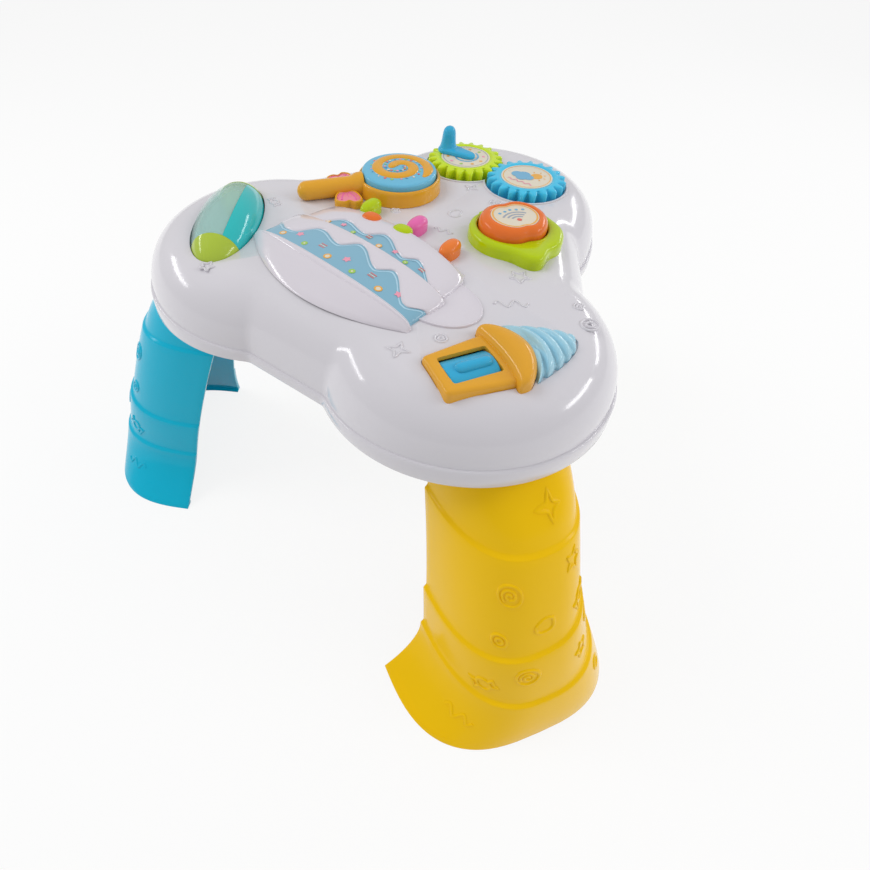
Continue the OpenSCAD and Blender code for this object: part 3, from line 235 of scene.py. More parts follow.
def plastic(name, colour, rough=0.2, coat=0.2, variation=0.05, ripple=0.06, alpha=1.0, specular=0.32):
    mat = bpy.data.materials.new(name)
    mat.use_nodes = True
    tree = mat.node_tree
    shader = tree.nodes["Principled BSDF"]
    finish = tree.nodes.new("ShaderNodeGroup")
    finish.node_tree = mouldedPlastic
    for key, value in (("Colour", (*colour, 1)), ("Shade Variation", variation), ("Roughness", rough),
                       ("Ripple", ripple)):
        finish.inputs[key].default_value = value
    wire(tree, (finish, "Colour", shader, "Base Color"), (finish, "Roughness", shader, "Roughness"),
         (finish, "Normal", shader, "Normal"))
    for key, value in (("Coat Weight", coat), ("Coat Roughness", 0.08), ("IOR", 1.5),
                       ("Specular IOR Level", specular)):
        shader.inputs[key].default_value = value
    if alpha < 1:
        shader.inputs["Alpha"].default_value = alpha
    return mat


def metal(name, colour, rough):
    mat = plastic(name, colour, rough, coat=0, variation=0.12, ripple=0.12)
    mat.node_tree.nodes["Principled BSDF"].inputs["Metallic"].default_value = 1.0
    return mat


paint = {
    "shell": plastic("shellWhite", (0.69, 0.67, 0.715), 0.15, 0.45, 0.03, specular=0.5),
    "tray": plastic("trayWhite", (0.62, 0.60, 0.65), 0.42, 0.0, 0.03, 0.2),
    "turquoise": plastic("legTurquoise", (0.0, 0.47, 0.68), 0.14, 0.05, specular=0.2),
    "yellow": plastic("legYellow", (0.94, 0.57, 0.0), 0.16, 0.0, specular=0.16),
    "limeLeg": plastic("legLime", (0.62, 0.80, 0.0), 0.14, 0.1, specular=0.22),
    "capLime": plastic("drumCapPlastic", (0.42, 0.56, 0.045), 0.14, 0.4),
    # the two gear plastics are lighter copies of lime and blue: painted light that makes up for the shade on
    # the gear teeth
    "gearLime": plastic("limeGearLitPlastic", (0.60, 0.78, 0.015), 0.16),
    "gearBlue": plastic("blueGearLitPlastic", (0.06, 0.56, 0.84), 0.16),
    "lime": plastic("limePlastic", (0.47, 0.62, 0.0), 0.16),
    "blue": plastic("bluePlastic", (0.035, 0.42, 0.70), 0.16),
    "paleBlue": plastic("paleBluePlastic", (0.15, 0.50, 0.72), 0.16),
    "softBlue": plastic("softBluePlastic", (0.38, 0.66, 0.79), 0.14, 0.4),
    "orange": plastic("orangePlastic", (0.84, 0.37, 0.02), 0.16),
    "deepOrange": plastic("deepOrangePlastic", (0.86, 0.21, 0.03), 0.16),
    "peach": plastic("peachPlastic", (0.78, 0.38, 0.025), 0.14),
    "redOrange": plastic("redOrangePlastic", (0.82, 0.17, 0.02), 0.15),
    "pink": plastic("pinkPlastic", (0.86, 0.26, 0.36), 0.18, variation=0.1),
    "hotPink": plastic("hotPinkPlastic", (0.82, 0.15, 0.44), 0.16),
    "cake": plastic("cakeWhite", (0.71, 0.67, 0.73), 0.14, 0.45, 0.03, specular=0.5),
    "teal": plastic("tealShell", (0.02, 0.52, 0.53), 0.1, 0.4),
    "cakeBlue": plastic("cakeBandBlue", (0.23, 0.46, 0.60), 0.2, 0.35, 0.04),
    "inkPaleBlue": plastic("labelPaleBlue", (0.42, 0.66, 0.80), 0.26, 0.3, 0.03),
    "inkCream": plastic("labelCream", (0.76, 0.69, 0.56), 0.3, 0.25, 0.03),
    "inkBlue": plastic("labelBlue", (0.17, 0.44, 0.66), 0.26, 0.3, 0.04),
    "inkDeepBlue": plastic("labelDeepBlue", (0.06, 0.27, 0.50), 0.26, 0.3, 0.04),
    "inkRed": plastic("labelRed", (0.76, 0.15, 0.12), 0.28, 0.25, 0.04),
    "inkOrange": plastic("labelOrange", (0.84, 0.42, 0.06), 0.28, 0.25, 0.04),
    "inkGreen": plastic("labelGreen", (0.35, 0.60, 0.10), 0.28, 0.25, 0.04),
    "inkPink": plastic("labelPink", (0.86, 0.34, 0.45), 0.28, 0.25, 0.04),
    "inkGrey": plastic("labelGrey", (0.34, 0.38, 0.46), 0.28, 0.25, 0.04),
    "silicone": plastic("padSilicone", (0.25, 0.25, 0.26), 0.55, 0.0, 0.05, 0.2),
    "dark": plastic("speakerBlack", (0.03, 0.03, 0.03), 0.5, 0.0, 0.05, 0.3),
    "board": plastic("boardGreen", (0.02, 0.14, 0.06), 0.4, 0.2, 0.1, 0.1),
    "cell": plastic("cellSleeve", (0.05, 0.05, 0.06), 0.3, 0.3, 0.05),
    "clear": plastic("clearShell", (0.62, 0.95, 0.90), 0.06, 0.6, 0.0, 0.02, alpha=0.36),
    "steel": metal("zincSteel", (0.62, 0.62, 0.62), 0.3),
}
print("finishes ready")


def addPiece(name, verts, faces, mats, body, slot, sharp=38, faceMats=None, closed=True):
    mesh = bpy.data.meshes.new(name)
    mesh.from_pydata([tuple(v) for v in verts], [], faces)
    for mat in mats if isinstance(mats, (list, tuple)) else [mats]:
        mesh.materials.append(paint[mat])
    if faceMats:
        mesh.polygons.foreach_set("material_index", faceMats)
    mesh.update()
    if closed:
        work = bmesh.new()
        work.from_mesh(mesh)
        bmesh.ops.recalc_face_normals(work, faces=work.faces)
        work.to_mesh(mesh)
        work.free()
    piece = bpy.data.objects.new(name, mesh)
    bpy.context.scene.collection.objects.link(piece)
    shadeByAngle(piece, sharp)
    if body:
        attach(piece, body)
    return piece


def shadeByAngle(piece, sharp):
    piece.data.shade_smooth()
    piece.data.set_sharp_from_angle(angle=radians(sharp))


def gridFaces(rows, closed=True, start=0):
    n = len(rows[0])
    span = n if closed else n - 1
    faces = []
    for j in range(len(rows) - 1):
        low, high = start + j * n, start + (j + 1) * n
        faces += [(low + i, low + (i + 1) % n, high + (i + 1) % n, high + i) for i in range(span)]
    return faces


# rings one above the other, with both ends closed
def loftPiece(name, rows, mats, body, slot, sharp=38, rowMats=None):
    verts = [v for row in rows for v in row]
    faces = gridFaces(rows)
    n = len(rows[0])
    faceMats = [rowMats[j] for j in range(len(rows) - 1) for _ in range(n)] if rowMats else None
    for end in (0, len(rows) - 1):
        hub = len(verts)
        verts.append(sum(rows[end], Vector()) / n)
        faces += [(hub, end * n + (i + 1) % n, end * n + i) for i in range(n)]
        if rowMats:
            faceMats += [rowMats[end]] * n
    return addPiece(name, verts, faces, mats, body, slot, sharp, faceMats)


def lathePiece(name, spot, profile, mats, body, slot, steps=72, sharp=38):
    rows = [[spot(*polarRad(r, 2 * pi * i / steps), z) for i in range(steps)] for r, z in profile]
    return loftPiece(name, rows, mats, body, slot, sharp)


def stemPiece(name, spot, z0, z1, mat, body, slot, steps):  # round stem under a spinning piece
    lathePiece(name, spot, [(2, z0), (5, z0), (5, z1), (2, z1)], mat, body, slot, steps)


def applyModifiers(piece):
    graph = bpy.context.evaluated_depsgraph_get()
    mesh = bpy.data.meshes.new_from_object(piece.evaluated_get(graph))
    piece.modifiers.clear()
    old = piece.data
    piece.data = mesh
    bpy.data.meshes.remove(old)


def bevel(piece, width, angle=40, segments=2, sharp=38):
    mod = piece.modifiers.new("softEdge", "BEVEL")
    mod.width = width * mm
    mod.segments = segments
    mod.limit_method = "ANGLE"
    mod.angle_limit = radians(angle)
    mod.use_clamp_overlap = True
    applyModifiers(piece)
    shadeByAngle(piece, sharp)


def cut(piece, cutter, operation="DIFFERENCE"):
    mod = piece.modifiers.new("cut", "BOOLEAN")
    mod.object = cutter
    mod.operation = operation
    mod.solver = "EXACT"
    bpy.context.view_layer.update()
    applyModifiers(piece)
    mesh = cutter.data
    bpy.data.objects.remove(cutter)
    bpy.data.meshes.remove(mesh)


def joinPieces(name, pieces, body):
    base = pieces[0]
    work = bmesh.new()
    mats = []
    for piece in pieces:
        start = len(work.faces)
        piece.data.transform(piece.matrix_world)
        work.from_mesh(piece.data)
        work.faces.ensure_lookup_table()
        for face in work.faces[start:]:
            mat = piece.data.materials[face.material_index]
            if mat not in mats:
                mats.append(mat)
            face.material_index = mats.index(mat)
    mesh = bpy.data.meshes.new(name)
    work.to_mesh(mesh)
    work.free()
    for mat in mats:
        mesh.materials.append(mat)
    for piece in pieces:
        old = piece.data
        bpy.data.objects.remove(piece)
        bpy.data.meshes.remove(old)
    whole = bpy.data.objects.new(name, mesh)
    bpy.context.scene.collection.objects.link(whole)
    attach(whole, body)
    return whole


def fuse(name, pieces, voxel, smooth, mat, body):
    whole = joinPieces(name, pieces, body)
    remesh = whole.modifiers.new("fuse", "REMESH")
    remesh.mode = "VOXEL"
    remesh.voxel_size = voxel * mm
    soften = whole.modifiers.new("soften", "SMOOTH")
    soften.iterations = smooth
    applyModifiers(whole)
    whole.data.materials.clear()
    whole.data.materials.append(paint[mat])
    whole.data.shade_smooth()
    return whole


def prism(name, outline, z0, z1, spot):  # a plain block over an outline, for cutting
    rows = [[spot(x, y, z) for x, y in outline] for z in (z0, z1)]
    verts = rows[0] + rows[1]
    n = len(outline)
    faces = gridFaces(rows) + [tuple(range(n - 1, -1, -1)), tuple(range(n, 2 * n))]
    return addPiece(name, verts, faces, "shell", None, None, 30)


def circle(r, steps=64, centre=(0, 0)):
    return [(centre[0] + r * cos(2 * pi * i / steps), centre[1] + r * sin(2 * pi * i / steps))
            for i in range(steps)]


def oval(hx, hy, power, steps):
    out = []
    for i in range(steps):
        c, s = cos(2 * pi * i / steps), sin(2 * pi * i / steps)
        out.append((hx * math.copysign(abs(c) ** (2 / power), c),
                    hy * math.copysign(abs(s) ** (2 / power), s)))
    return out


def grown(outline, d):  # outline moved outwards by d along its corner normals
    n = len(outline)
    out = []
    for i in range(n):
        a, b, c = outline[i - 1], outline[i], outline[(i + 1) % n]
        n1 = Vector((b[1] - a[1], a[0] - b[0]))
        n2 = Vector((c[1] - b[1], b[0] - c[0]))
        n1 = n1.normalized() if n1.length else n1
        n2 = n2.normalized() if n2.length else n2
        m = (n1 + n2)
        k = max(0.35, (1 + n1.dot(n2)) / 2)
        m = m.normalized() / math.sqrt(k) if m.length else n1
        out.append((b[0] + m.x * d, b[1] + m.y * d))
    return out


# turns a strip of faces so that they look the way that lift grows
def facing(verts, faces, probe, up):
    a, b, c = (verts[k] for k in faces[probe][:3])
    return faces if (b - a).cross(c - a).dot(up) > 0 else [tuple(reversed(f)) for f in faces]


def alongPath(path, closed):
    n = len(path)
    for i, (u, v) in enumerate(path):
        a = path[i - 1] if i or closed else path[0]
        b = path[(i + 1) % n] if i < n - 1 or closed else path[-1]
        d = Vector((b[0] - a[0], b[1] - a[1]))
        yield u, v, d.normalized() if d.length else Vector((1, 0))


# half-round bead along a flat path that a map lays on a surface: lay(u, v, lift) gives the point
def beadStroke(path, r, lay, closed=False, height=0.8, sides=5):
    n = len(path)
    widest = max(r) if isinstance(r, list) else r
    verts, faces = [], []
    for i, (u, v, d) in enumerate(alongPath(path, closed)):
        w = r[i] if isinstance(r, list) else r
        for k in range(sides):
            t = pi * k / (sides - 1)
            rise = -0.3 if k in (0, sides - 1) else height * sin(t) * (w / widest)
            verts.append(lay(u - d.y * w * cos(t), v + d.x * w * cos(t), rise))
    for i in range(n if closed else n - 1):
        for k in range(sides):
            a, b = i * sides + k, i * sides + (k + 1) % sides
            c, d = ((i + 1) % n) * sides + (k + 1) % sides, ((i + 1) % n) * sides + k
            faces.append((a, b, c, d))
    up = lay(*path[0], 1.0) - lay(*path[0], 0.0)
    faces = facing(verts, faces, sides // 2, up)
    if not closed:
        faces += [tuple(range(sides)), tuple(range(n * sides - 1, (n - 1) * sides - 1, -1))]
    return verts, faces


# thin printed patch: a fan over an outline, laid on a surface
def inkPatch(outline, lay, lift):
    n = len(outline)
    cx, cy = sum(p[0] for p in outline) / n, sum(p[1] for p in outline) / n
    verts = [lay(cx, cy, lift)] + [lay(x, y, lift) for x, y in outline]
    faces = [(0, 1 + i, 1 + (i + 1) % n) for i in range(n)]
    return verts, facing(verts, faces, 0, lay(cx, cy, lift + 1) - verts[0])


def inkStroke(path, w, lay, lift, closed=False):
    n = len(path)
    verts = []
    for u, v, d in alongPath(path, closed):
        verts += [lay(u - d.y * w / 2, v + d.x * w / 2, lift), lay(u + d.y * w / 2, v - d.x * w / 2, lift)]
    faces = [(2 * i, 2 * i + 1, 2 * ((i + 1) % n) + 1, 2 * ((i + 1) % n))
             for i in range(n if closed else n - 1)]
    return verts, facing(verts, faces, 0, lay(*path[0], lift + 1) - lay(*path[0], lift))


inkStep = 0.012  # each print lies a hair above the one before it


class Ink:  # the prints and moulded beads of one piece
    def __init__(self, lift=0.08):
        self.verts, self.faces, self.mats, self.names = [], [], [], []
        self.lift = lift

    def take(self, part, mat):
        verts, faces = part
        if mat not in self.names:
            self.names.append(mat)
        start = len(self.verts)
        self.verts += verts
        self.faces += [tuple(start + k for k in f) for f in faces]
        self.mats += [self.names.index(mat)] * len(faces)
        self.lift += inkStep

    def patch(self, outline, lay, mat):
        self.take(inkPatch(outline, lay, self.lift), mat)

    def stroke(self, path, w, lay, mat, closed=False):
        self.take(inkStroke(path, w, lay, self.lift, closed), mat)

    def bead(self, path, r, lay, mat, closed=False, height=0.8, sides=5):
        self.take(beadStroke(path, r, lay, closed, height, sides), mat)

    def build(self, name, body, slot, sharp=50):
        return addPiece(name, self.verts, self.faces, self.names, body, slot, sharp, self.mats, closed=False)


def roundedOutline(corners, r, steps=5):
    out = []
    n = len(corners)
    for i in range(n):
        a, b, c = Vector(corners[i - 1]), Vector(corners[i]), Vector(corners[(i + 1) % n])
        k = min(r, (a - b).length * 0.45, (c - b).length * 0.45)
        p, q = b + (a - b).normalized() * k, b + (c - b).normalized() * k
        for j in range(steps + 1):
            t = j / steps
            m = p * (1 - t) ** 2 + b * 2 * t * (1 - t) + q * t ** 2
            out.append((m.x, m.y))
    return out


def starPath(r, k=0.45, points=5):
    return [polar(r if i % 2 == 0 else r * k, 90 + 180 * i / points) for i in range(2 * points)]


def smoothPath(path, closed=True, steps=4):
    out = []
    n = len(path)
    for i in range(n if closed else n - 1):
        p0, p1, p2, p3 = (Vector(path[(i + k) % n]) if closed else Vector(path[max(0, min(n - 1, i + k))])
                          for k in (-1, 0, 1, 2))
        for j in range(steps):
            t = j / steps
            p = 0.5 * ((2 * p1) + (-p0 + p2) * t + (2 * p0 - 5 * p1 + 4 * p2 - p3) * t * t
                       + (-p0 + 3 * p1 - 3 * p2 + p3) * t ** 3)
            out.append((p.x, p.y))
    if not closed:
        out.append(tuple(path[-1]))
    return out


def densePath(path, closed=True, steps=3):
    n = len(path)
    out = []
    for i in range(n if closed else n - 1):
        a, b = path[i], path[(i + 1) % n]
        out += [(mix(a[0], b[0], j / steps), mix(a[1], b[1], j / steps)) for j in range(steps)]
    if not closed:
        out.append(path[-1])
    return out


def spiralPath(r, turns=1.6, steps=26):
    return [polar(r * (0.15 + 0.85 * i / steps), 360 * turns * i / steps) for i in range(steps + 1)]


# centre of the hollow's arc that joins a lobe of radius rl and a side at distance s
def hollowCentre(rl, s, rf):
    k = s + rf
    bx, by = k / 2 - table["lobeD"], k * sin(pi / 3)
    halfB = bx * sin(pi / 3) - by / 2
    t = -halfB - math.sqrt(halfB ** 2 - (bx * bx + by * by - (rl + rf) ** 2))
    return k / 2 + t * sin(pi / 3), k * sin(pi / 3) - t / 2


def shellOutline(inset, lobeSteps=60, hollowSteps=14):
    rl, rf = table["lobeR"] - inset, table["hollowR"] + inset
    f = hollowCentre(rl, table["sideD"] - inset, rf)
    phi = atan2(f[1], f[0] - table["lobeD"])
    turns = [phi * (2 * i / lobeSteps - 1) for i in range(lobeSteps + 1)]
    third = [(table["lobeD"] + rl * cos(a), rl * sin(a)) for a in turns]
    hollow = [(f[0] + rf * cos(phi + pi + (pi / 3 - phi) * i / hollowSteps),
               f[1] + rf * sin(phi + pi + (pi / 3 - phi) * i / hollowSteps))
               for i in range(1, hollowSteps + 1)]
    mirrored = [(hypot(x, y) * cos(2 * pi / 3 - atan2(y, x)), hypot(x, y) * sin(2 * pi / 3 - atan2(y, x)))
                for x, y in reversed(hollow)]
    a, b = hollow[-1], mirrored[0]
    between = [(mix(a[0], b[0], k / 6), mix(a[1], b[1], k / 6)) for k in range(1, 6)]
    ring = third + hollow + between + mirrored
    out = []
    for turn in (90, 210, 330):
        c, s = cos(radians(turn)), sin(radians(turn))
        out += [(x * c - y * s, x * s + y * c) for x, y in ring]
    return out


def lipTop(x, y):
    lobeness = ease((hypot(x, y) - 150) / 60)
    return table["skirtZ"] + mix(table["lipSide"], table["lipLobe"], lobeness)


def shellRows():
    edge = shellOutline(0)
    lips = [lipTop(x, y) for x, y in edge]
    rows = []

    def addRow(inset, height):
        ring = shellOutline(inset)
        rows.append([tablePoint(x, y, height(i)) for i, (x, y) in enumerate(ring)])

    for a in range(90, -1, -10):  # inside, from the ceiling down
        inset = table["lipStep"] + table["shoulderW"] * (1 - cos(radians(a))) + table["wall"]
        rise = sin(radians(a))
        addRow(inset, lambda i, s=rise: lips[i] + (topZ - lips[i]) * s - table["wall"] * s)
    addRow(table["lipStep"] + table["wall"], lambda i: table["skirtZ"] + 0.4)
    for inset, z in ((3.4, 0.0), (1.0, 0.0), (0.25, 0.3), (0, 1.0)):
        addRow(inset, lambda i, z=z: table["skirtZ"] + z)
    for inset, below in ((0.15, 2.0), (0.45, 0.9), (1.1, 0.25), (1.9, 0.0), (2.35, 0.0)):
        addRow(inset, lambda i, below=below: lips[i] - below)
    for k in range(1, 31):
        a = radians(3 * k)
        inset = table["lipStep"] + table["shoulderW"] * (1 - cos(a))
        addRow(inset, lambda i, a=a: lips[i] + (topZ - lips[i]) * sin(a))
    return rows


leg = {"reach": 313, "top": 222, "footInner": 216, "topInner": 145, "halfW": 47, "gain": 21,
       "flareLow": 31, "flareTall": 24, "flareLowH": 46, "flareTallH": 105, "wall": 3, "step": 2.5,
       "neck": 10, "neckFrom": 0.85, "tongue": 14, "tongueStep": 1.2, "ribbons": ((187, 2), (104, 12)),
       "footLine": 50, "rim": 7, "rimH": 4, "facets": 56, "markSpan": 95, "markW": 1.35, "markH": 1.0}


def legSection(z, s, grow):
    z = max(0.0, z)
    rise = min(1.0, z / table["skirtZ"])
    inner = leg["footInner"] - (leg["footInner"] - leg["topInner"]) * rise ** 1.45
    reach = leg["reach"] - (leg["reach"] - leg["top"]) * rise ** 1.4
    reach -= leg["neck"] * ease((rise - leg["neckFrom"]) / (1 - leg["neckFrom"]))
    half = leg["halfW"] + leg["gain"] * (1 - rise) ** 1.2
    if s < 0:
        half += leg["flareLow"] * max(0, 1 - z / leg["flareLowH"]) ** 1.8
    else:
        half += leg["flareTall"] * max(0, 1 - z / leg["flareTallH"]) ** 1.1
    power = 2.5 + 0.4 * max(0, 1 - z / 60)
    a = s * pi / 2
    across = math.copysign(abs(sin(a)) ** (2 / power), s)
    along = max(0, cos(a)) ** (2 / power)
    return inner + (reach - inner + grow) * along, (half + grow) * across


def legRowSpecs():
    specs = []
    step, edge = leg["step"], leg["footLine"]
    for z in (0, 1.2, 4, 8, 12, 16, 20, 25, 30, 35, 40, 44, 47):
        specs.append(((z, 0), step - (0.8 if z == 0 else 0)))

    def stepEdge(base, tilt):
        for dz, g in ((-1.2, step), (-0.3, step - 0.15), (0.3, step - 0.7), (1.2, 0.7), (2.0, 0.1), (2.8, 0)):
            specs.append(((base + dz, tilt), g))

    stepEdge(edge, 0)
    low, high = leg["ribbons"][1], leg["ribbons"][0]
    for k in range(1, 8):
        t = k / 8
        specs.append(((mix(edge + 3, low[0] - 1.5, t), low[1] * t), step * t))
    stepEdge(*low)
    for k in range(1, 11):
        t = k / 11
        specs.append(((mix(low[0] + 3, high[0] - 1.5, t), mix(low[1], high[1], t)), step * t))
    stepEdge(*high)
    for k in range(1, 7):
        t = k / 6
        specs.append(((mix(high[0] + 3, table["skirtZ"] + 0.6, t), high[1] * (1 - t)), 0))
    topOfTongue = table["skirtZ"] + 0.65 + leg["tongue"]
    specs.append(((table["skirtZ"] + 0.66, 0), -leg["tongueStep"]))
    specs.append(((topOfTongue, 0), -leg["tongueStep"]))
    return specs


def legSpot(angle, flip):
    c, s = cos(radians(angle)), sin(radians(angle))

    def spot(r, u, z):
        u = -u if flip else u
        return tablePoint(r * c - u * s, r * s + u * c, z)
    return spot


def makeLeg(name, node, angle, flip, mat, slot):
    spot = legSpot(angle, flip)
    count = leg["facets"]
    params = [math.copysign(abs(k) ** 0.8, k) for k in (2 * i / count - 1 for i in range(count + 1))]
    outer, inner = [], []
    for (z, tilt), grow in legRowSpecs():
        outRow, inRow = [], []
        for s in params:
            h = max(0.0, z + tilt * sin(s * pi / 2)) if tilt else z
            r, u = legSection(h, s, grow)
            outRow.append(spot(r, u, h))
            rim = leg["rim"] if z < leg["rimH"] else leg["wall"]
            r, u = legSection(h, s, -rim)
            inRow.append(spot(r, u, h))
        outer.append(outRow)
        inner.append(inRow)
    n, m = len(params), len(outer)
    verts = [v for row in outer for v in row] + [v for row in inner for v in row]
    faces = gridFaces(outer, False) + gridFaces(inner, False, m * n)
    for j in range(m - 1):
        for i in (0, n - 1):
            faces.append((j * n + i, (j + 1) * n + i, (m + j + 1) * n + i, (m + j) * n + i))
    for i in range(n - 1):
        for j in (0, m - 1):
            faces.append((j * n + i, j * n + i + 1, (m + j) * n + i + 1, (m + j) * n + i))
    piece = addPiece(name, verts, faces, mat, "table", slot, 32)
    bevel(piece, 0.9, angle=60, segments=2, sharp=34)
    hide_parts(node)


def growAt(z, s):  # how far the outer face stands proud at a height
    ledges = [(leg["footLine"], 0)] + [(b, t) for b, t in reversed(leg["ribbons"])]
    low = None
    for base, tilt in ledges:
        edge = base + tilt * sin(s * pi / 2)
        if z < edge + 1:
            if low is None:
                return leg["step"]
            return leg["step"] * max(0, min(1, (z - low) / (edge - low)))
        low = edge
    return 0


# lays flat motif points on a leg: u runs round the leg, v up it
def legLay(angle, flip, u0, v0, turn=0):
    spot = legSpot(angle, flip)
    c, s = cos(radians(turn)), sin(radians(turn))

    def lay(u, v, lift):
        uu, vv = u0 + u * c - v * s, v0 + u * s + v * c
        side = uu / leg["markSpan"]
        r, w = legSection(vv, side, growAt(vv, side) + lift)
        return spot(r, w, vv)
    return lay


def motif(kind, size):  # generic raised sweets, stars, rings and waves: [(path, closed)]
    if kind == "star":
        return [(densePath(starPath(size, 0.5)), True)]
    if kind == "spark":
        return [(densePath(starPath(size, 0.36, 4)), True)]
    if kind == "ring":
        return [(circle(size, 28), True), (circle(size * 0.45, 18), True)]
    if kind == "swirl":
        return [(circle(size, 28), True), (spiralPath(size * 0.72), False)]
    if kind == "sweet":
        fan = [(size * 0.55, size * 0.25), (size * 1.15, size * 0.5), (size * 1.0, 0),
               (size * 1.15, -size * 0.5), (size * 0.55, -size * 0.25)]
        return [(circle(size * 0.6, 24), True), (densePath(fan, False), False),
                (densePath([(-x, y) for x, y in fan], False), False)]
    if kind == "wave":
        return [([(size * (k / 8 - 1), size * 0.3 * sin(k * pi / 4)) for k in range(17)], False)]
    drop = [polar(size * (0.62 + 0.38 * max(0, cos(radians(a - 90))) ** 6), a) for a in range(0, 360, 12)]
    return [(drop, True)]


# kind, size, place round and up the leg, and turn of each raised mark
legMotifs = [
    ("swirl", 9, -26, 158, 10), ("star", 9, 22, 172, -15), ("sweet", 9, 34, 132, 40),
    ("drop", 8, -2, 128, -20), ("swirl", 8, -12, 84, 0), ("sweet", 9, -44, 66, 30),
    ("star", 8, 30, 80, 12), ("ring", 8, 52, 96, 0), ("spark", 9, 6, 214, 0),
    ("ring", 6, -34, 116, 0), ("wave", 11, -54, 24, 0), ("drop", 8, 48, 30, 15),
]


def makeLegReliefs(name, angle, flip, mat, slot):
    marks = Ink()
    for kind, size, u, v, turn in legMotifs:
        lay = legLay(angle, flip, u, v, turn)
        for path, closed in motif(kind, size):
            marks.bead(path, leg["markW"], lay, mat, closed, leg["markH"])
    marks.build(name, "table", slot, 60)


legSet = [("turquoise", "turquoise_leg", 210, True, "turquoise", "turquoise"),
          ("yellow", "yellow_leg", 330, False, "yellow", "yellow"),
          ("lime", "lime_leg", 90, False, "limeLeg", "lime_yellow")]
for key, node, angle, flip, mat, slot in legSet:
    makeLeg(key + "Leg", node, angle, flip, mat, slot)
    makeLegReliefs(key + "LegReliefs", angle, flip, mat, slot)
print("legs ready")


gears = {"x": 32, "y": 134, "teeth": 20, "out": 2.6, "in": 4.1, "drop": 4.5, "thick": 11.6, "float": 0.4,
         "label": 22, "dish": 0.45, "ringR": 20.6, "seatGap": 1.2, "lipW": 1.6, "lipH": 1.0,
         "crankAngle": 180, "crankR": 20, "knobR": 7, "knobH": 22}
gearSeatZ = topZ - gears["drop"]
gearSeatR = gears["x"] + gears["out"] + gears["seatGap"]


def gearRadius(a):
    mid = gears["x"] - (gears["in"] - gears["out"]) / 2 * 0.8
    s = sin(gears["teeth"] * a)
    return mid + (s * (gears["x"] + gears["out"] - mid) if s > 0 else s * (mid - gears["x"] + gears["in"]))


def gearLevels():  # underside and top of both gears
    z0 = gearSeatZ + gears["float"]
    return z0, z0 + gears["thick"]


def makeGear(name, node, side, mat, slot, body):
    spot = placeAt(side * gears["x"], gears["y"], 0)
    z0, z1 = gearLevels()
    steps = gears["teeth"] * 16
    turns = [2 * pi * i / steps for i in range(steps)]
    rows = []
    for z, k, scale in ((z0, 1, 0.975), (z0 + 0.7, 1, 1), (z1 - 2.6, 1, 1), (z1 - 1.5, 1, 0.992),
                        (z1 - 0.7, 0.97, 0.972), (z1 - 0.3, 0.8, 0.94)):
        rows.append([spot(*polarRad(scale * mix(gears["x"] * 0.93, gearRadius(a), k), a), z) for a in turns])
    for r, z in ((27.6, z1), (26.4, z1 + 0.35), (25.0, z1 + 0.4), (24.0, z1 + 0.25), (23.4, z1 - 0.25),
                 (gears["label"] + 0.6, z1 - gears["dish"]), (8, z1 - gears["dish"])):
        rows.append([spot(*polarRad(r, a), z) for a in turns])
    gear = loftPiece(name, rows, mat, body, slot, sharp=42)
    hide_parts(node)
    stemPiece(name + "Stem", spot, gearSeatZ - 3, z0 + 1, mat, body, slot, 40)


def gearLabel(name, node, side, body):
    spot = placeAt(side * gears["x"], gears["y"], 0)
    z, r, face = gearLevels()[1] - gears["dish"], gears["label"], 0.4
    profile = [(r + 0.4, z + 0.02), (r + 0.4, z + 0.25), (r, z + face)]
    disc = lathePiece(name, spot, profile, "inkCream", body, "label", 72, 30)
    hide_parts(node)
    ink = Ink()
    lay = lambda u, v, lift: spot(u, v, z + face + lift)
    ink.stroke(circle(gears["ringR"], 72), 0.7, lay, "inkOrange" if side > 0 else "inkGrey", True)
    if side > 0:  # a sun behind a cloud, drawn with plain rounds
        ink.patch(circle(5.2, 30, (7, 5)), lay, "inkOrange")
        for k in range(8):
            p, q = polar(6.6, 45 * k), polar(8.6, 45 * k)
            ink.stroke([(7 + p[0], 5 + p[1]), (7 + q[0], 5 + q[1])], 1.1, lay, "inkOrange")
        for x, y, r in ((-9, -1, 5.2), (-3.4, 0.5, 6.2), (2.4, -1.5, 4.6), (-3, -3.6, 5.6)):
            ink.patch(circle(r, 30, (x, y)), lay, "inkBlue")
        ink.stroke([(-12 + k, -12.5 + 1.2 * sin(k)) for k in range(0, 25)], 1.0, lay, "inkPink")
    else:
        ink.stroke(spiralPath(12, 2.2, 60), 1.8, lay, "inkBlue")
        for k in range(10):
            ink.patch(circle(1.5, 16, polar(16.4, 36 * k)), lay, ("inkOrange", "inkPink", "inkGreen")[k % 3])
    ink.build(name + "Print", body, "label")


makeGear("limeGear", "lime_gear", -1, "gearLime", "lime", "lime_gear")
makeGear("blueGear", "blue_gear", 1, "gearBlue", "blue", "blue_gear")
gearLabel("limeGearLabel", "lime_gear_label", -1, "lime_gear")
gearLabel("blueGearLabel", "blue_gear_label", 1, "blue_gear")


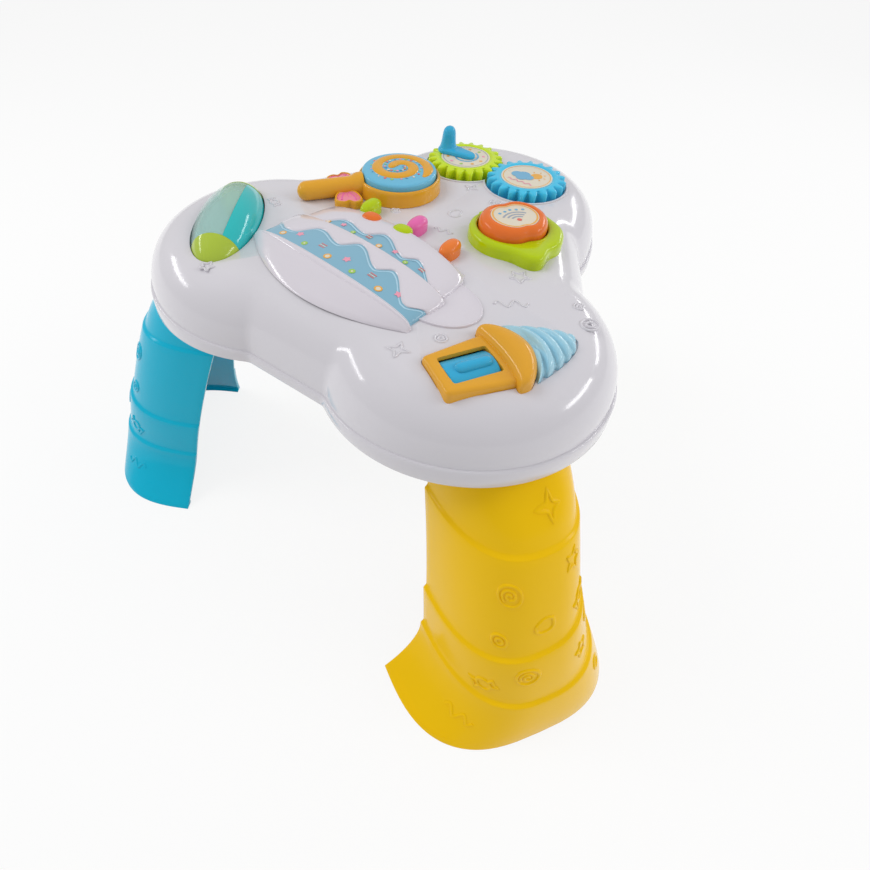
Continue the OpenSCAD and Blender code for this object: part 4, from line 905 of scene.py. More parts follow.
def makeCrank():
    spot = placeAt(-gears["x"], gears["y"], gears["crankAngle"])
    z = gearLevels()[1]
    reach, foot, tall = gears["crankR"], gears["knobR"], gears["knobH"]
    plan = []
    for i in range(40):
        a = 2 * pi * i / 40
        r, shift = (foot + 2.2, reach) if cos(a) > 0 else (5.2, -4)
        plan.append((shift + r * cos(a), r * sin(a)))
    rows = [[spot(mix(reach / 2, x, k), y * k, h) for x, y in plan]
            for k, h in ((1, z), (1, z + 2.2), (0.95, z + 3.2), (0.8, z + 3.9), (0.5, z + 4.2))]
    armPiece = loftPiece("crankArm", rows, "blue", None, None)
    profile = [(foot + 1.8, z + 0.2), (foot + 1.6, z + 2.2), (foot + 0.7, z + 4.5)]
    for draw, k in ((0.2, 0.36), (0.7, 0.55), (1.1, 0.74), (1.9, 0.87), (3.4, 0.95), (5.2, 0.99)):
        profile.append((foot - draw, z + tall * k))
    profile.append((0.6, z + tall))
    knob = lathePiece("crankKnob", lambda u, v, h: spot(reach + u, v, h), profile, "blue", None, None, 40)
    whole = fuse("crankHandle", [armPiece, knob], 0.55, 6, "blue", "lime_gear")
    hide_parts("crank_handle")


makeCrank()
print("gears ready")


lolly = {"x": -52, "y": 57, "angle": 232.5, "r": 36, "flare": 1, "h": 13, "rim": 3, "proud": 4.5,
         "round": 2.4, "dome": 1.6, "stick": 90, "stickR": 8, "turns": 1.65, "bandR": 4.7, "bandH": 1.3,
         "band": (0.80, 0.12), "start": 2.2, "sprinkles": 34,
         "bow": [(42, 7), (37.6, 19), (39, 26), (45, 28.6), (49.5, 24.5), (54.5, 26), (60, 23), (61, 17),
                 (56, 7)],
         "bowMiddle": (49, 17.5),
         "folds": [[(47, 11), (44.5, 17), (43.5, 23)], [(51.5, 11), (54, 16), (55.5, 21)],
                   [(49.2, 12), (49.2, 19)]]}
lollySpot = placeAt(lolly["x"], lolly["y"], lolly["angle"])


def makeLollyBase():
    r, h, rim = lolly["r"], lolly["h"], lolly["rim"]
    z = topZ
    foot = r + lolly["flare"]
    profile = [(foot - 0.5, z), (foot, z + 0.6)]
    for draw, below in ((-0.25, 4), (0, 2.4), (0.35, 1.2), (1.0, 0.35), (1.7, 0), (2.4, 0.2), (rim, 0.9)):
        profile.append((r - draw, z + h - below))
    profile += [(r - rim - 0.05, z + 3), (8, z + 3)]
    cup = lathePiece("lollipopCup", lollySpot, profile, "peach", "table", "orange", 96)
    length, w = lolly["stick"], lolly["stickR"]
    stations = [(r - 3, w + 2.6), (r + 1.5, w + 2.4), (r + 4, w + 1.6), (r + 6, w + 0.5), (r + 8, w),
                (length - 20, w)]
    stations += [(length - w + w * sin(radians(a)), w * cos(radians(a))) for a in range(0, 90, 9)]
    stations.append((length, 0.4))
    around = [2 * pi * i / 40 for i in range(40)]
    stick = []
    for x, ww in stations:
        stick.append([lollySpot(x, ww * cos(a), z + max(0, w - 0.8 + ww * sin(a))) for a in around])
    rod = loftPiece("lollipopStick", stick, "peach", "table", "orange", sharp=45)
    whole = joinPieces("lollipopBase", [cup, rod], "table")
    shadeByAngle(whole, 42)
    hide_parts("lollipop_base")


def makeLollyDisc():
    r, soft = lolly["r"] - lolly["rim"] - 0.6, lolly["round"]
    z, top = topZ + 3.4, topZ + lolly["h"] + lolly["proud"]

    def rise(rr):  # height of the plain disc at a distance from its middle
        if rr > r - soft:
            return top - soft + soft * math.sqrt(max(0, 1 - ((rr - r + soft) / soft) ** 2))
        return top + lolly["dome"] * (1 - (rr / (r - soft)) ** 2)

    turns = [radians(a) for a in range(0, 91, 15)]
    profile = [(r - 0.3, z), (r, z + 0.3)]
    profile += [(r - soft * (1 - cos(a)), top - soft * (1 - sin(a))) for a in turns]
    profile += [(rr, rise(rr)) for rr in (26, 22, 18, 14, 10, 6, 2)]
    disc = lathePiece("lollipopDisc", lollySpot, profile, "paleBlue", "lollipop_disc", "blue", 96, 40)
    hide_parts("lollipop_disc")
    lay = lambda u, v, lift: lollySpot(u, v, rise(hypot(u, v)) + lift)
    ink = Ink()
    steps, count = 130, lolly["sprinkles"]

    def spiral(t):  # distance and angle along the spiral, from its outer end
        return mix(*lolly["band"], t ** 1.15) * r, lolly["start"] + 2 * pi * lolly["turns"] * t

    path, widths = [], []
    for k in range(steps + 1):
        t = k / steps
        path.append(polarRad(*spiral(t)))
        widths.append(lolly["bandR"] * min(1, (t + 0.004) / 0.06) ** 0.5 * min(1, (1.004 - t) / 0.03) ** 0.5)
    ink.bead(path, widths, lay, "peach", False, lolly["bandH"], 7)
    colours = ["inkRed", "inkGreen", "inkPink", "inkDeepBlue", "inkCream"]
    for k in range(count):  # sprinkles half a turn away, between the bands
        rr, a = spiral((k + 0.5) / count)
        spot = polarRad(rr + dice.uniform(-0.6, 0.6), a + pi + dice.uniform(-0.06, 0.06))
        ink.patch(circle(dice.uniform(0.8, 1.35), 12, spot), lay, colours[k % 5])
    ink.build("lollipopSpiral", "lollipop_disc", "blue")
    stemPiece("lollipopStem", lollySpot, ceilingZ - 0.5, z + 1, "paleBlue", "lollipop_disc", "blue", 32)


def makeBow():
    for side, key in ((-1, "bowWingNear"), (1, "bowWingFar")):
        plan = smoothPath([(x, y * side) for x, y in lolly["bow"]], True, 5)
        plan = plan[::-1] if side < 0 else plan
        cx, cy = lolly["bowMiddle"][0], lolly["bowMiddle"][1] * side
        rows, mats = [], []
        for k, h in ((0.99, 0), (1.0, 0.8), (1.0, 5.0), (0.975, 6.2), (0.93, 6.9), (0.86, 6.9), (0.83, 6.2),
                     (0.80, 5.6), (0.6, 6.3), (0.3, 6.8)):
            rows.append([lollySpot(mix(cx, x, k), mix(cy, y, k), topZ + h) for x, y in plan])
            mats.append(0 if k > 0.84 else 1)
        wing = loftPiece(key, rows, ["peach", "pink"], "table", "pink", sharp=40, rowMats=mats)
        if side < 0:
            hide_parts("bow_wings")
        ink = Ink()
        lay = lambda u, v, lift: lollySpot(u, v, topZ + 6.2 + lift)
        for fold in lolly["folds"]:
            ink.bead(smoothPath([(x, y * side) for x, y in fold], False), 0.9, lay, "hotPink", False, 0.7)
        ink.build(key + "Folds", "table", "pink")


makeLollyBase()
makeLollyDisc()
makeBow()
print("lollipop ready")


# swells: direction, spread and reach of each bulge of the base; label: its distance from the button's rim
apple = {"x": 67.6, "y": 47.2, "angle": 58, "r": 34.6, "button": 26, "baseH": 12, "proud": 8.6, "travel": 3,
         "swells": ((264, 17, 14), (300, 20, 5), (330, 22, 4), (95, 22, -5)), "leafRoot": 21, "label": 7.9}
appleSpot = placeAt(apple["x"], apple["y"], apple["angle"])


def appleRing(r, steps=96):
    out = []
    for i in range(steps):
        a = 360 * i / steps
        stem = min(abs(a - 90), abs(a - 450))
        tail = abs(a - 270)
        dip = 0.17 * math.exp(-(stem / 20) ** 2) + 0.09 * math.exp(-(tail / 15) ** 2)
        out.append(polar(r * (1.03 + 0.05 * sin(radians(a)) - dip), a))
    return out


def appleBaseRing(grow, steps=120):
    out = []
    for i in range(steps):
        a = 360 * i / steps
        r = apple["r"] + grow
        for at, spread, reach in apple["swells"]:
            away = min(abs(a - at), 360 - abs(a - at))
            r += reach * math.exp(-(away / spread) ** 2)
        out.append(polar(r, a))
    return out


def appleRows(spec, ring):
    return [[appleSpot(x, y, z) for x, y in ring(r)] for r, z in spec]


def leafPiece(key, turn, length, width, h):
    rows = []
    for k, rise in ((0.98, 0), (1.0, 1), (1.0, h - 3), (0.95, h - 1.4), (0.82, h - 0.4), (0.5, h),
                    (0.2, h + 0.2)):
        ring = []
        for i in range(36):
            t, side = (i / 18, 1) if i <= 18 else ((36 - i) / 18, -1)
            w = side * width * sin(pi * t) ** 0.8 * k
            x, y = turnPoint((w, length * mix(0.5, t, k)), turn)
            ring.append(appleSpot(x, apple["leafRoot"] + y, seatZ + rise))
        rows.append(ring[::-1])
    return loftPiece(key, rows, "lime", "table", "lime", sharp=42)


def makeApple():
    z, h, b = seatZ, apple["baseH"], apple["button"]
    spec = [(-0.5, z), (0, z + 0.5), (0, z + h - 4.6), (-0.4, z + h - 2.8), (-1.2, z + h - 1.4),
            (-2.4, z + h - 0.5), (-4.2, z + h)]
    rows = appleRows(spec, appleBaseRing)
    inner = appleRows([(b + 2.2, z + h), (b + 1.3, z + h - 0.5), (b + 0.8, z + h - 1.6), (b + 0.7, z + 2)],
                      lambda r: appleRing(r, 120))
    base = loftPiece("appleBase", rows + inner, "lime", "table", "lime", sharp=42)
    zb, zt = z + 1.8 + apple["travel"] + 0.5, z + h + apple["proud"]
    edge = b - apple["label"]
    spec = [(b - 0.4, zb), (b, zb + 0.4), (b, zt - 8), (b - 0.3, zt - 5.8), (b - 1.1, zt - 3.6),
            (b - 2.4, zt - 1.7), (b - 4.2, zt - 0.5), (b - 5.8, zt), (b - 7.0, zt - 0.05),
            (b - 7.6, zt - 0.6), (edge, zt - 0.9)]
    rows = appleRows(spec, appleRing)
    button = loftPiece("appleButton", rows, "redOrange", "apple_button", "red_orange", sharp=42)
    rows = appleRows([(edge, zt - 0.95), (edge, zt - 0.75), (edge - 0.3, zt - 0.6)], appleRing)
    label = loftPiece("appleLabel", rows, "inkCream", "apple_button", "label", sharp=30)
    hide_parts("apple_button")
    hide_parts("apple_label")
    ink = Ink(0.05)
    lay = lambda u, v, lift: appleSpot(u, v, zt - 0.6 + lift)
    ink.stroke(appleRing(edge - 1.5), 1.3, lay, "inkOrange", True)
    for r0, span in ((13.5, 50), (10.1, 46), (6.8, 42)):
        arc = [(r0 * sin(radians(a)), -8.5 + r0 * cos(radians(a))) for a in range(-span, span + 1, 6)]
        ink.stroke(arc, 1.6, lay, "inkGrey")
    for k in range(-2, 3):
        ink.patch(circle(1.35, 16, (5 * k, 9.4 - abs(k) * 1.3)), lay, "inkBlue")
    ink.patch(circle(1.9, 18, (0, -6.4)), lay, "inkRed")
    ink.build("appleLabelPrint", "apple_button", "label")
    leaves = [leafPiece("leafBig", -28, 18.5, 6.5, h - 1), leafPiece("leafSmall", 47, 18, 6, h - 2)]
    whole = joinPieces("appleBaseWhole", [base] + leaves, "table")
    shadeByAngle(whole, 42)
    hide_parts("apple_base")


makeApple()
print("apple ready")


cake = {"x": 2, "angle": -7.5, "plateHalf": 85, "dishAt": (75, -50), "dishHalf": (35, 26), "dishH": 1.6}
cakeSpot = placeAt(cake["x"], 0, cake["angle"])
# stations from front to back: y of the middle, how far the ends trail, half width, height
cakeStations = [
    (-117.5, 26, 85, 0.5), (-116.6, 25, 85, 1.9), (-112, 21, 85, 4.4), (-104, 14, 85, 8.6),
    (-97, 8, 85, 11.6), (-93.6, 5, 85, 12.7), (-92.9, 4.5, 85, 12.5), (-92.3, 4, 85, 13.1),
    (-91.2, 3, 85, 13.7), (-89.8, 1.9, 85, 13.9), (-88.4, 1.3, 84.7, 13.5), (-87.3, 1.3, 83.5, 12.4),
    (-86.8, 1.5, 81.5, 11.7), (-67, -1.5, 81, 12.3), (-48.5, -2.9, 81, 12.5), (-47, -3, 80.4, 12.1),
    (-46.2, -3, 79, 11.2), (-45.5, -3, 76, 9.8), (-28.75, -8, 75, 10), (-12, -14, 73, 9.5),
    (-9, -14.6, 72, 8.4), (-5, -15.4, 70, 5), (-2, -16, 68, 0.5)]


def stationAt(t):
    for a, b in zip(cakeStations, cakeStations[1:]):
        if t <= b[0]:
            k = max(0, (t - a[0]) / (b[0] - a[0]))
            return [mix(p, q, k) for p, q in zip(a, b)]
    return list(cakeStations[-1])


def cakePoint(a, t, lift=0.0):
    y, trail, half, h = stationAt(t)
    x = half * cos(a)
    z = topZ + max(0.05, h + lift) * max(0, sin(a)) ** 0.8
    return cakeSpot(x * (1 + lift / half), y + trail * (x / cake["plateHalf"]) ** 2, z)


def cakeLay(x0, t0):  # flat prints laid on the cake's arches, x across and t back
    def lay(u, v, lift):
        half = stationAt(t0 + v)[2]
        return cakePoint(math.acos(max(-1, min(1, (x0 + u) / half))), t0 + v, lift)
    return lay


# edge of the icing on a tier: slow falls and quick rises, farther forward at the ends
icing = {"pitch": 41, "fall": 0.7, "tier1": (-57.5, 5.5, 5.5), "tier2": (-31, 4.5, 4.8)}


def icingEdge(tier, a):
    middle, droop, swing = icing[tier]
    x = stationAt(middle)[2] * cos(a)
    p, fall = (x / icing["pitch"]) % 1, icing["fall"]
    wave = cos(pi * p / fall) if p < fall else -cos(pi * (p - fall) / (1 - fall))
    return middle - droop * min(2.6, (x / icing["pitch"]) ** 2) + swing * wave


def makeCake():
    angles = [pi * i / 180 for i in range(181)]
    rows = [(lambda a, t=t: t, 0, 0) for t in
            (-117.5, -116.6, -112, -108, -104, -100.5, -97, -94.5, -93.6, -92.9, -92.3, -91.2, -89.8, -89,
             -88.4, -87.8, -87.3, -86.8)]
    for tier, front, back in (("tier1", -86.2, -46.2), ("tier2", -44.9, -9)):
        edge = lambda a, tier=tier: icingEdge(tier, a)
        rows.append((lambda a, front=front: front, 0, 1))
        rows += [(lambda a, k=k, front=front, edge=edge: mix(front, edge(a) - 0.4, k), 0, 1)
                 for k in (0.25, 0.5, 0.75)]
        rows += [(lambda a, d=d, edge=edge: edge(a) + d, lift, 0)
                 for d, lift in ((-0.4, 0), (0.0, 0.7), (0.6, 1.15), (1.6, 1.4), (3.2, 1.5))]
        rows += [(lambda a, k=k, back=back, edge=edge: mix(edge(a) + 3.2, back - 2, k), 1.5, 0)
                 for k in (0.5, 1)]
        rows += [(lambda a, back=back, d=d: back + d, lift, 0) for d, lift in ((-1, 1.2), (0, 0.5), (0.6, 0))]
    rows += [(lambda a, t=t: t, 0, 0) for t in (-7, -5, -3.5, -2)]
    grid = [[cakePoint(a, t(a), lift) for a in angles] for t, lift, mat in rows]
    n = len(angles)
    mats = [rows[j][2] for j in range(len(rows) - 1) for _ in range(n - 1)]
    body = addPiece("cakeTiers", [v for r in grid for v in r], gridFaces(grid, False), ["cake", "cakeBlue"],
                    "table", "cake", 42, mats)
    (dx, dy), (hx, hy), h = cake["dishAt"], cake["dishHalf"], cake["dishH"]
    levels = ((1, 0), (1, h - 0.7), (0.993, h - 0.2), (0.98, h), (0.965, h), (0.95, h - 0.2), (0.93, h - 0.5),
              (0.6, h - 0.6), (0.1, h - 0.6))
    plan = oval(hx, hy, 2, 72)
    rows = [[cakeSpot(dx + x * k, dy + y * k, topZ + z) for x, y in plan] for k, z in levels]
    dish = loftPiece("cakeDish", rows, "cake", "table", "cake")
    whole = joinPieces("cakeBody", [body, dish], "table")
    shadeByAngle(whole, 42)
    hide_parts("cake_body")


cakePrints = {"tier1": {"t": -77, "ends": 66, "count": 10, "swing": 3.6, "size": 3.1},
              "tier2": {"t": -39.6, "ends": 56, "count": 8, "swing": 1.8, "size": 2.5}}


def makeCakePrint():
    ink = Ink()
    for tier, spec in cakePrints.items():
        edge = [(a, icingEdge(tier, a) - 2.6) for a in (pi * (0.05 + 0.9 * k / 150) for k in range(151))]
        verts = [cakePoint(a, t + d, ink.lift) for a, t in edge for d in (-0.7, 0.7)]
        faces = [(2 * k, 2 * k + 2, 2 * k + 3, 2 * k + 1) for k in range(len(edge) - 1)]
        ink.take((verts, facing(verts, faces, 75, Vector((0, 0, 1)))), "inkPaleBlue")
        for k in range(spec["count"]):
            x = mix(-spec["ends"], spec["ends"], (k + 0.5) / spec["count"])
            t = spec["t"] + spec["swing"] * (1 if k % 2 else -1)
            lay, size = cakeLay(x, t), spec["size"]
            if k % 4 == 0:
                ink.patch(circle(size, 20), lay, "inkOrange")
                ink.patch(circle(size * 0.6, 16), lay, "inkCream")
            elif k % 4 == 1:
                ink.patch(smoothPath(starPath(size * 1.15, 0.6), True, 2), lay, "inkPink")
            elif k % 4 == 2:
                ink.patch(circle(size * 0.85, 18), lay, "inkGreen")
                ink.patch(circle(size * 0.3, 10), lay, "inkCream")
            else:
                for d in (-1.6, 0, 1.6):
                    y = d * size / 3
                    ink.stroke([(-size, y), (size, y)], 0.75, lay, "inkRed" if d else "inkCream")
    ink.build("cakeBandPrint", "table", "cake")


makeCake()
makeCakePrint()


buttons = {
    "green_candle_button": {"at": (-42.8, 6.5), "size": (13, 22), "mat": "lime", "slot": "lime"},
    "pink_candle_button": {"at": (4, 7), "size": (13, 22), "mat": "hotPink", "slot": "pink"},
    "orange_candle_button": {"at": (43.8, -5.5), "size": (13, 22), "mat": "deepOrange", "slot": "orange"},
    "red_fruit_button": {"at": (-27, -12), "size": (17, 12.5), "mat": "redOrange", "slot": "red_orange"},
    "green_fruit_button": {"at": (3.5, -12), "size": (17, 12.5), "mat": "lime", "slot": "lime"},
}
# height, dome, and how far the dome draws in across and along
buttonRise = {"candle": (12, 6, 0.92, 0.86), "fruit": (12.9, 3.6, 0.7, 0.7)}


def makeButtons():
    for node, spec in buttons.items():
        spot = placeAt(*spec["at"], 0)
        w, l = spec["size"]
        tall, dome, drawX, drawY = buttonRise["candle" if "candle" in node else "fruit"]
        z0, z1 = ceilingZ - 0.5, topZ + tall
        rows = []
        base = oval(w / 2, l / 2, 2.3, 48)
        levels = [(z0, 1, 1), (topZ + 1.5, 1, 1)]
        for a in range(0, 91, 9):
            k = 1 - cos(radians(a))
            levels.append((z1 - dome + dome * sin(radians(a)), 1 - drawX * k, 1 - drawY * k))
        for z, kx, ky in levels:
            rows.append([spot(x * kx, y * ky, z) for x, y in base])
        piece = loftPiece(node.replace("_button", "Button").replace("_", ""), rows, spec["mat"], node,
                          spec["slot"], sharp=45)
        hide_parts(node)


makeButtons()
print("cake ready")


ice = {"r": 162, "angle": 60, "collarX": -9, "cone": 45, "tip": 18.75, "wide": 24.5, "h": 6, "footDrop": 7,
       "bow": 6, "front": 14, "collarHalf": 29.5, "collarH": 14, "swirl": 36, "turns": 4.5, "swirlH": 13,
       "grooveIn": 0.11, "grooveDown": 0.34, "rockerR": 20, "rockerL": 34, "tilt": 20, "crown": 0.3,
       "sweep": 0.8, "ridgeHalf": 4.3, "ridgeH": 4.0, "ridgeY": -1.2}
ice["rockerHalf"] = ice["tip"] - 6.5
windowX = ice["collarX"] - 3 - ice["rockerL"] / 2
iceSpot = placeAt(*polar(ice["r"], 330), ice["angle"])
rockerZ = seatZ + ice["h"] + ice["crown"] - ice["rockerR"]


def conePlan():
    x0, x1 = ice["collarX"] - ice["cone"], ice["collarX"]
    half = [(x0, ice["tip"]), (x1, ice["wide"]), (x1 + 6, ice["wide"])]
    return roundedOutline([(x, -y) for x, y in half] + half[::-1], 4)


def collarIn(y):
    return ice["collarX"] + 1 - ice["bow"] * (y / ice["collarHalf"]) ** 2


def collarOut(y):
    return ice["front"] * (1 - 0.88 * (y / ice["collarHalf"]) ** 2)


def collarPlan(steps=96):
    out = []
    for i in range(steps):
        a = 2 * pi * i / steps
        y = ice["collarHalf"] * sin(a)
        middle, half = (collarIn(y) + collarOut(y)) / 2, (collarOut(y) - collarIn(y)) / 2
        out.append((middle + half * math.copysign(abs(cos(a)) ** 0.5, cos(a)), y))
    return out


def swirlHalf(t):
    return max(1.0, (ice["collarHalf"] - 3.5) * (1 - t) ** 0.62)


def swirlX(y, t):
    return mix(collarOut(y) + table["gap"], ice["front"] + ice["swirl"], t)


def swirlPlan(steps=36):
    sides = [[(swirlX(swirlHalf(k / steps), k / steps), side * swirlHalf(k / steps))
              for k in range(steps + 1)] for side in (-1, 1)]
    ends = [swirlHalf(0) * k / 4 for k in range(3, -4, -1)]
    return sides[0] + sides[1][::-1] + [(swirlX(y, 0), y) for y in ends]


def rockerRoom():  # the space the barrel sweeps while it rocks
    r, reach, steps = ice["rockerR"] + ice["sweep"], ice["rockerL"] / 2 + 0.5, 97
    turns = [2 * pi * k / steps for k in range(steps)]
    rows = [[iceSpot(windowX + x, r * sin(a), rockerZ + r * cos(a)) for a in turns]
            for x in (-reach, 0.3, reach)]
    return loftPiece("rockerRoom", rows, "shell", None, None)


def makeCone():
    z0, z1 = seatZ - ice["footDrop"], seatZ + ice["h"]
    half, wide = ice["rockerL"] / 2 + table["gap"], ice["rockerHalf"] + table["gap"]
    plan = conePlan()
    rows = [[iceSpot(x, y, z) for x, y in grown(plan, d)]
            for d, z in ((0, z0), (0, z1 - 3.0), (-0.4, z1 - 1.6), (-1.2, z1 - 0.6), (-2.4, z1 - 0.05),
                         (-3.4, z1))]
    n = len(plan)
    faces = gridFaces(rows) + [tuple(range(n - 1, -1, -1)), tuple(range((len(rows) - 1) * n, len(rows) * n))]
    cone = addPiece("iceCreamCone", [v for r in rows for v in r], faces, "peach", "table", "orange", 40)
    window = roundedOutline([(windowX - half, -wide), (windowX + half, -wide), (windowX + half, wide),
                             (windowX - half, wide)], 2.4, 5)
    cut(cone, prism("window", window, z0 - 6, z1 + 10, iceSpot))
    cut(cone, rockerRoom())
    bevel(cone, 0.9, angle=50, segments=3, sharp=36)
    return cone


def makeCollar():  # arched rows along the roll
    rows = []
    for i in range(49):
        a = mix(-pi / 2, pi / 2, i / 48) * 0.985
        y = ice["collarHalf"] * sin(a)
        middle, reach = (collarIn(y) + collarOut(y)) / 2, (collarOut(y) - collarIn(y)) / 2 * cos(a) ** 0.5
        tall = ice["collarH"] * (0.38 + 0.62 * cos(a) ** 0.55)
        ring = [(-reach, -ice["footDrop"])]
        ring += [(-reach * cos(b), tall * (0.3 + 0.7 * sin(b) ** 0.85))
                 for b in (pi * k / 24 for k in range(25))]
        ring.append((reach, -ice["footDrop"]))
        rows.append([iceSpot(middle + x, y, seatZ + z) for x, z in ring])
    return loftPiece("iceCreamCollar", rows, "peach", "table", "orange", sharp=60)


def makeIceFrame():
    whole = joinPieces("iceCreamFrame", [makeCone(), makeCollar()], "table")
    shadeByAngle(whole, 40)
    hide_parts("ice_cream_frame")


def makeSwirl():
    rows = []
    for i in range(73):
        t = i / 72
        w, h = swirlHalf(t), ice["swirlH"] * (1 - t) ** 0.45 + 1
        ring = []
        for j in range(37):
            a = pi * j / 36
            y = w * cos(a)
            groove = (0.5 + 0.5 * cos(2 * pi * (ice["turns"] * t + y / 60))) ** 2.2
            y *= 1 - ice["grooveIn"] * groove
            ring.append(iceSpot(swirlX(y, t), y + 3.2 * max(0, t - 0.8) / 0.2,  # the tip bends to one side
                                seatZ + h * sin(a) ** 0.6 * (1 - ice["grooveDown"] * groove)))
        rows.append(ring)
    swirl = loftPiece("iceCreamSwirl", rows, "softBlue", "table", "blue", sharp=60)
    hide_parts("ice_cream_swirl")


def makeRocker():
    r, length = ice["rockerR"], ice["rockerL"]
    z, x0 = rockerZ, windowX - length / 2
    spread = math.asin(ice["rockerHalf"] / r) + radians(ice["tilt"])
    turns = [mix(-spread, spread, k / 40) for k in range(41)]
    section = [(r * sin(a), r * cos(a)) for a in turns] + [(3, 0), (-3, 0)]
    rows = [[iceSpot(x0 + x, y * k, z + h * k) for y, h in section]
            for x, k in ((0, 0.97), (0.3, 0.99), (1.0, 1.0), (length / 2, 1), (length - 1.0, 1.0),
                         (length - 0.3, 0.99), (length, 0.97))]
    barrel = loftPiece("rockerBarrel", rows, "blue", "rocker", "blue", sharp=40)
    ridge = []
    around = [2 * pi * i / 20 for i in range(20)]
    for k in range(21):
        x = x0 + mix(5.5, length - 2, k / 20)
        end = math.sqrt(max(0.02, 1 - (k / 10 - 1) ** 8))
        ridge.append([iceSpot(x, ice["ridgeHalf"] * cos(a) * end + ice["ridgeY"],
                              z + r - 0.8 + max(-1, ice["ridgeH"] * sin(a) * end)) for a in around])
    fin = loftPiece("rockerRidge", ridge, "blue", "rocker", "blue", sharp=50)
    whole = joinPieces("iceCreamRocker", [barrel, fin], "rocker")
    shadeByAngle(whole, 42)
    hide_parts("ice_cream_rocker")


makeIceFrame()
makeSwirl()
makeRocker()
print("ice cream ready")


drum = {"d": 148, "shift": 3, "angle": 123, "half": 62, "r": 27, "sink": 7, "mid": 41.5, "gap": 1.2,
        "seam": 23, "wall": 2}
drumCentre = tuple(a + b for a, b in zip(polar(drum["d"], 210), polar(drum["shift"], drum["angle"] + 180)))
drumZ = topZ - drum["sink"]
drumSpot = placeAt(*drumCentre, drum["angle"])


def drumRadius(s):
    return drum["r"] * math.sqrt(max(0, 1 - (s / drum["half"]) ** 2))


def drumRow(s, r, a0=0.0, a1=2 * pi, steps=64, closed=True):
    count = steps if closed else steps + 1
    return [drumSpot(s, r * cos(a0 + (a1 - a0) * i / steps), drumZ + r * sin(a0 + (a1 - a0) * i / steps))
            for i in range(count)]


def makeDrum():
    parts = []
    for side in (-1, 1):
        rows = [drumRow(side * drum["mid"], 3)]
        rows.append(drumRow(side * drum["mid"], drumRadius(drum["mid"]) - 0.8))
        for k in range(17):
            s = mix(drum["mid"] + 0.4, drum["half"], 1 - (1 - k / 16) ** 1.8)
            rows.append(drumRow(side * s, max(2.6, drumRadius(s) + (0.35 if k < 1 else 0.5))))
        parts.append(loftPiece("cap", rows, "capLime", None, None, 40))
    caps = joinPieces("rollerCaps", parts, "roller")
    shadeByAngle(caps, 40)
    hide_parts("roller_caps")
    span = [mix(-drum["mid"] + 0.1, drum["mid"] - 0.1, k / 14) for k in range(15)]
    walls = [(s, 0) for s in span] + [(s, drum["wall"]) for s in reversed(span)]
    steps, part = 40, 0.003  # the half shells stay a hair apart
    for name, node, slot, turn in (("rollerTealShell", "roller_teal_shell", "teal", pi / 2),
                                   ("rollerClearShell", "roller_clear_shell", "clear", -pi / 2)):
        start = turn + radians(drum["seam"])
        a0, a1 = start + part, start + pi - part
        rows = [drumRow(s, drumRadius(s) - wall, a0, a1, steps, False) for s, wall in walls]
        verts = [v for r in rows for v in r]
        n, m = steps + 1, len(rows)
        faces = [(j * n + i, j * n + i + 1, ((j + 1) % m) * n + i + 1, ((j + 1) % m) * n + i)
                 for j in range(m) for i in range(n - 1)]
        faces += [tuple(j * n for j in range(m)), tuple(j * n + n - 1 for j in range(m))]
        piece = addPiece(name, verts, faces, slot, "roller", slot, 40)
        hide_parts(node)


makeDrum()
print("drum ready")


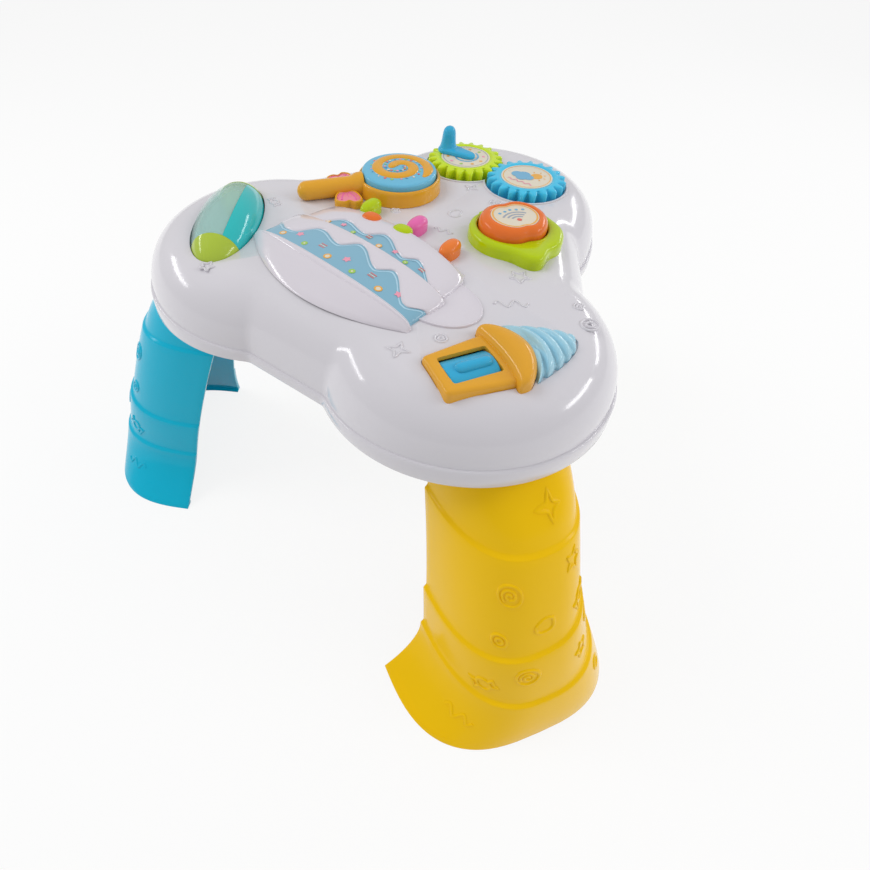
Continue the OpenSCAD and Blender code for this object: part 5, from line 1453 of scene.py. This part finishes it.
def makeTopShell():
    shell = loftPiece("topShell", shellRows(), "shell", "table", "white_shell", sharp=30)
    # each cutter has its own turn or count of sides, so that no two of them share a corner
    seats = [placeAt(side * gears["x"], gears["y"], 90 - 88 * side + 0.7) for side in (-1, 1)]
    lip = circle(gearSeatR + gears["lipW"], 95)
    for spot in seats:
        cut(shell, prism("boss", lip, gearSeatZ - 2.5, topZ + gears["lipH"], spot), "UNION")
    for spot in seats:
        cut(shell, prism("seat", circle(gearSeatR, 97), gearSeatZ, topZ + 20, spot))
    r, half = drum["r"] + drum["gap"], drum["half"] + drum["gap"]
    rows = [drumRow(half * sin(radians(a)), r * cos(radians(a)), steps=96) for a in range(-88, 89, 4)]
    cut(shell, loftPiece("drumRoom", rows, "shell", None, None))
    cut(shell, prism("appleSeat", appleBaseRing(-4), ceilingZ - 8, topZ + 20, appleSpot))
    coneRoom = [(mix(windowX, x, 0.9), y * 0.87) for x, y in conePlan()]
    cut(shell, prism("coneSeat", coneRoom, ceilingZ - 12, topZ + 20, iceSpot))
    for key, plan, gap in (("coneEdge", conePlan(), 0.5), ("collarSeat", collarPlan(), 0.3),
                           ("swirlSeat", swirlPlan(), 0.3)):
        cut(shell, prism(key, grown(plan, gap), seatZ, topZ + 20, iceSpot))
    cut(shell, rockerRoom())
    bevel(shell, 0.5, angle=50, segments=2, sharp=34)
    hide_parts("top_shell")


makeTopShell()
print("moulded top ready")


topMark = {"w": 0.95, "h": 0.85}  # half width and height of the raised lines
# kind, size, place and turn of each raised mark
topMotifs = [
    ("spark", 8, 80, -119, 20), ("ring", 6, 165, -17, 0), ("ring", 3.2, 150, -3, 0),
    ("sweet", 8.5, -160, -30, 30), ("sweet", 6, -120, -30, -20), ("star", 6, -90, -132, 10),
    ("swirl", 6, -112, -112, 0), ("wave", 12, 112, -30, 40), ("star", 8, 100, 3, 0),
    ("ring", 4, 95, -92, 0), ("drop", 8, 12, 50, 0), ("spark", 6, -2, 98, 0), ("swirl", 6, 30, 88, 0),
    ("star", 6, -105, 30, 10), ("ring", 3.5, -30, 24, 0), ("wave", 8, 20, 22, 10),
]


def makeTopReliefs():
    marks = Ink()
    for kind, size, x, y, turn in topMotifs:
        spot = placeAt(x, y, turn)
        lay = lambda u, v, lift: spot(u, v, topZ + lift)
        for path, closed in motif(kind, size):
            marks.bead(path, topMark["w"], lay, "shell", closed, topMark["h"])
    marks.build("topReliefs", "table", "white_shell", 60)


makeTopReliefs()
print("raised marks ready")


# inner parts and those underneath keep their own shapes
plainParts = {
    "base_tray": "tray", "battery_box": "tray", "battery_door": "tray", "speaker": "dark",
    "circuit_board": "board", "aa_batteries": "cell", "roller_cradle": "shell",
    "power_switch": "redOrange", "roller_beads": "orange",
}
for node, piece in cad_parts.items():
    if node in plainParts:
        mat = plainParts[node]
    elif node.endswith("_pad"):
        mat = "silicone"
    else:
        mat = "steel"
    piece.data.materials.clear()
    piece.data.materials.append(paint[mat])
print("inner parts ready")
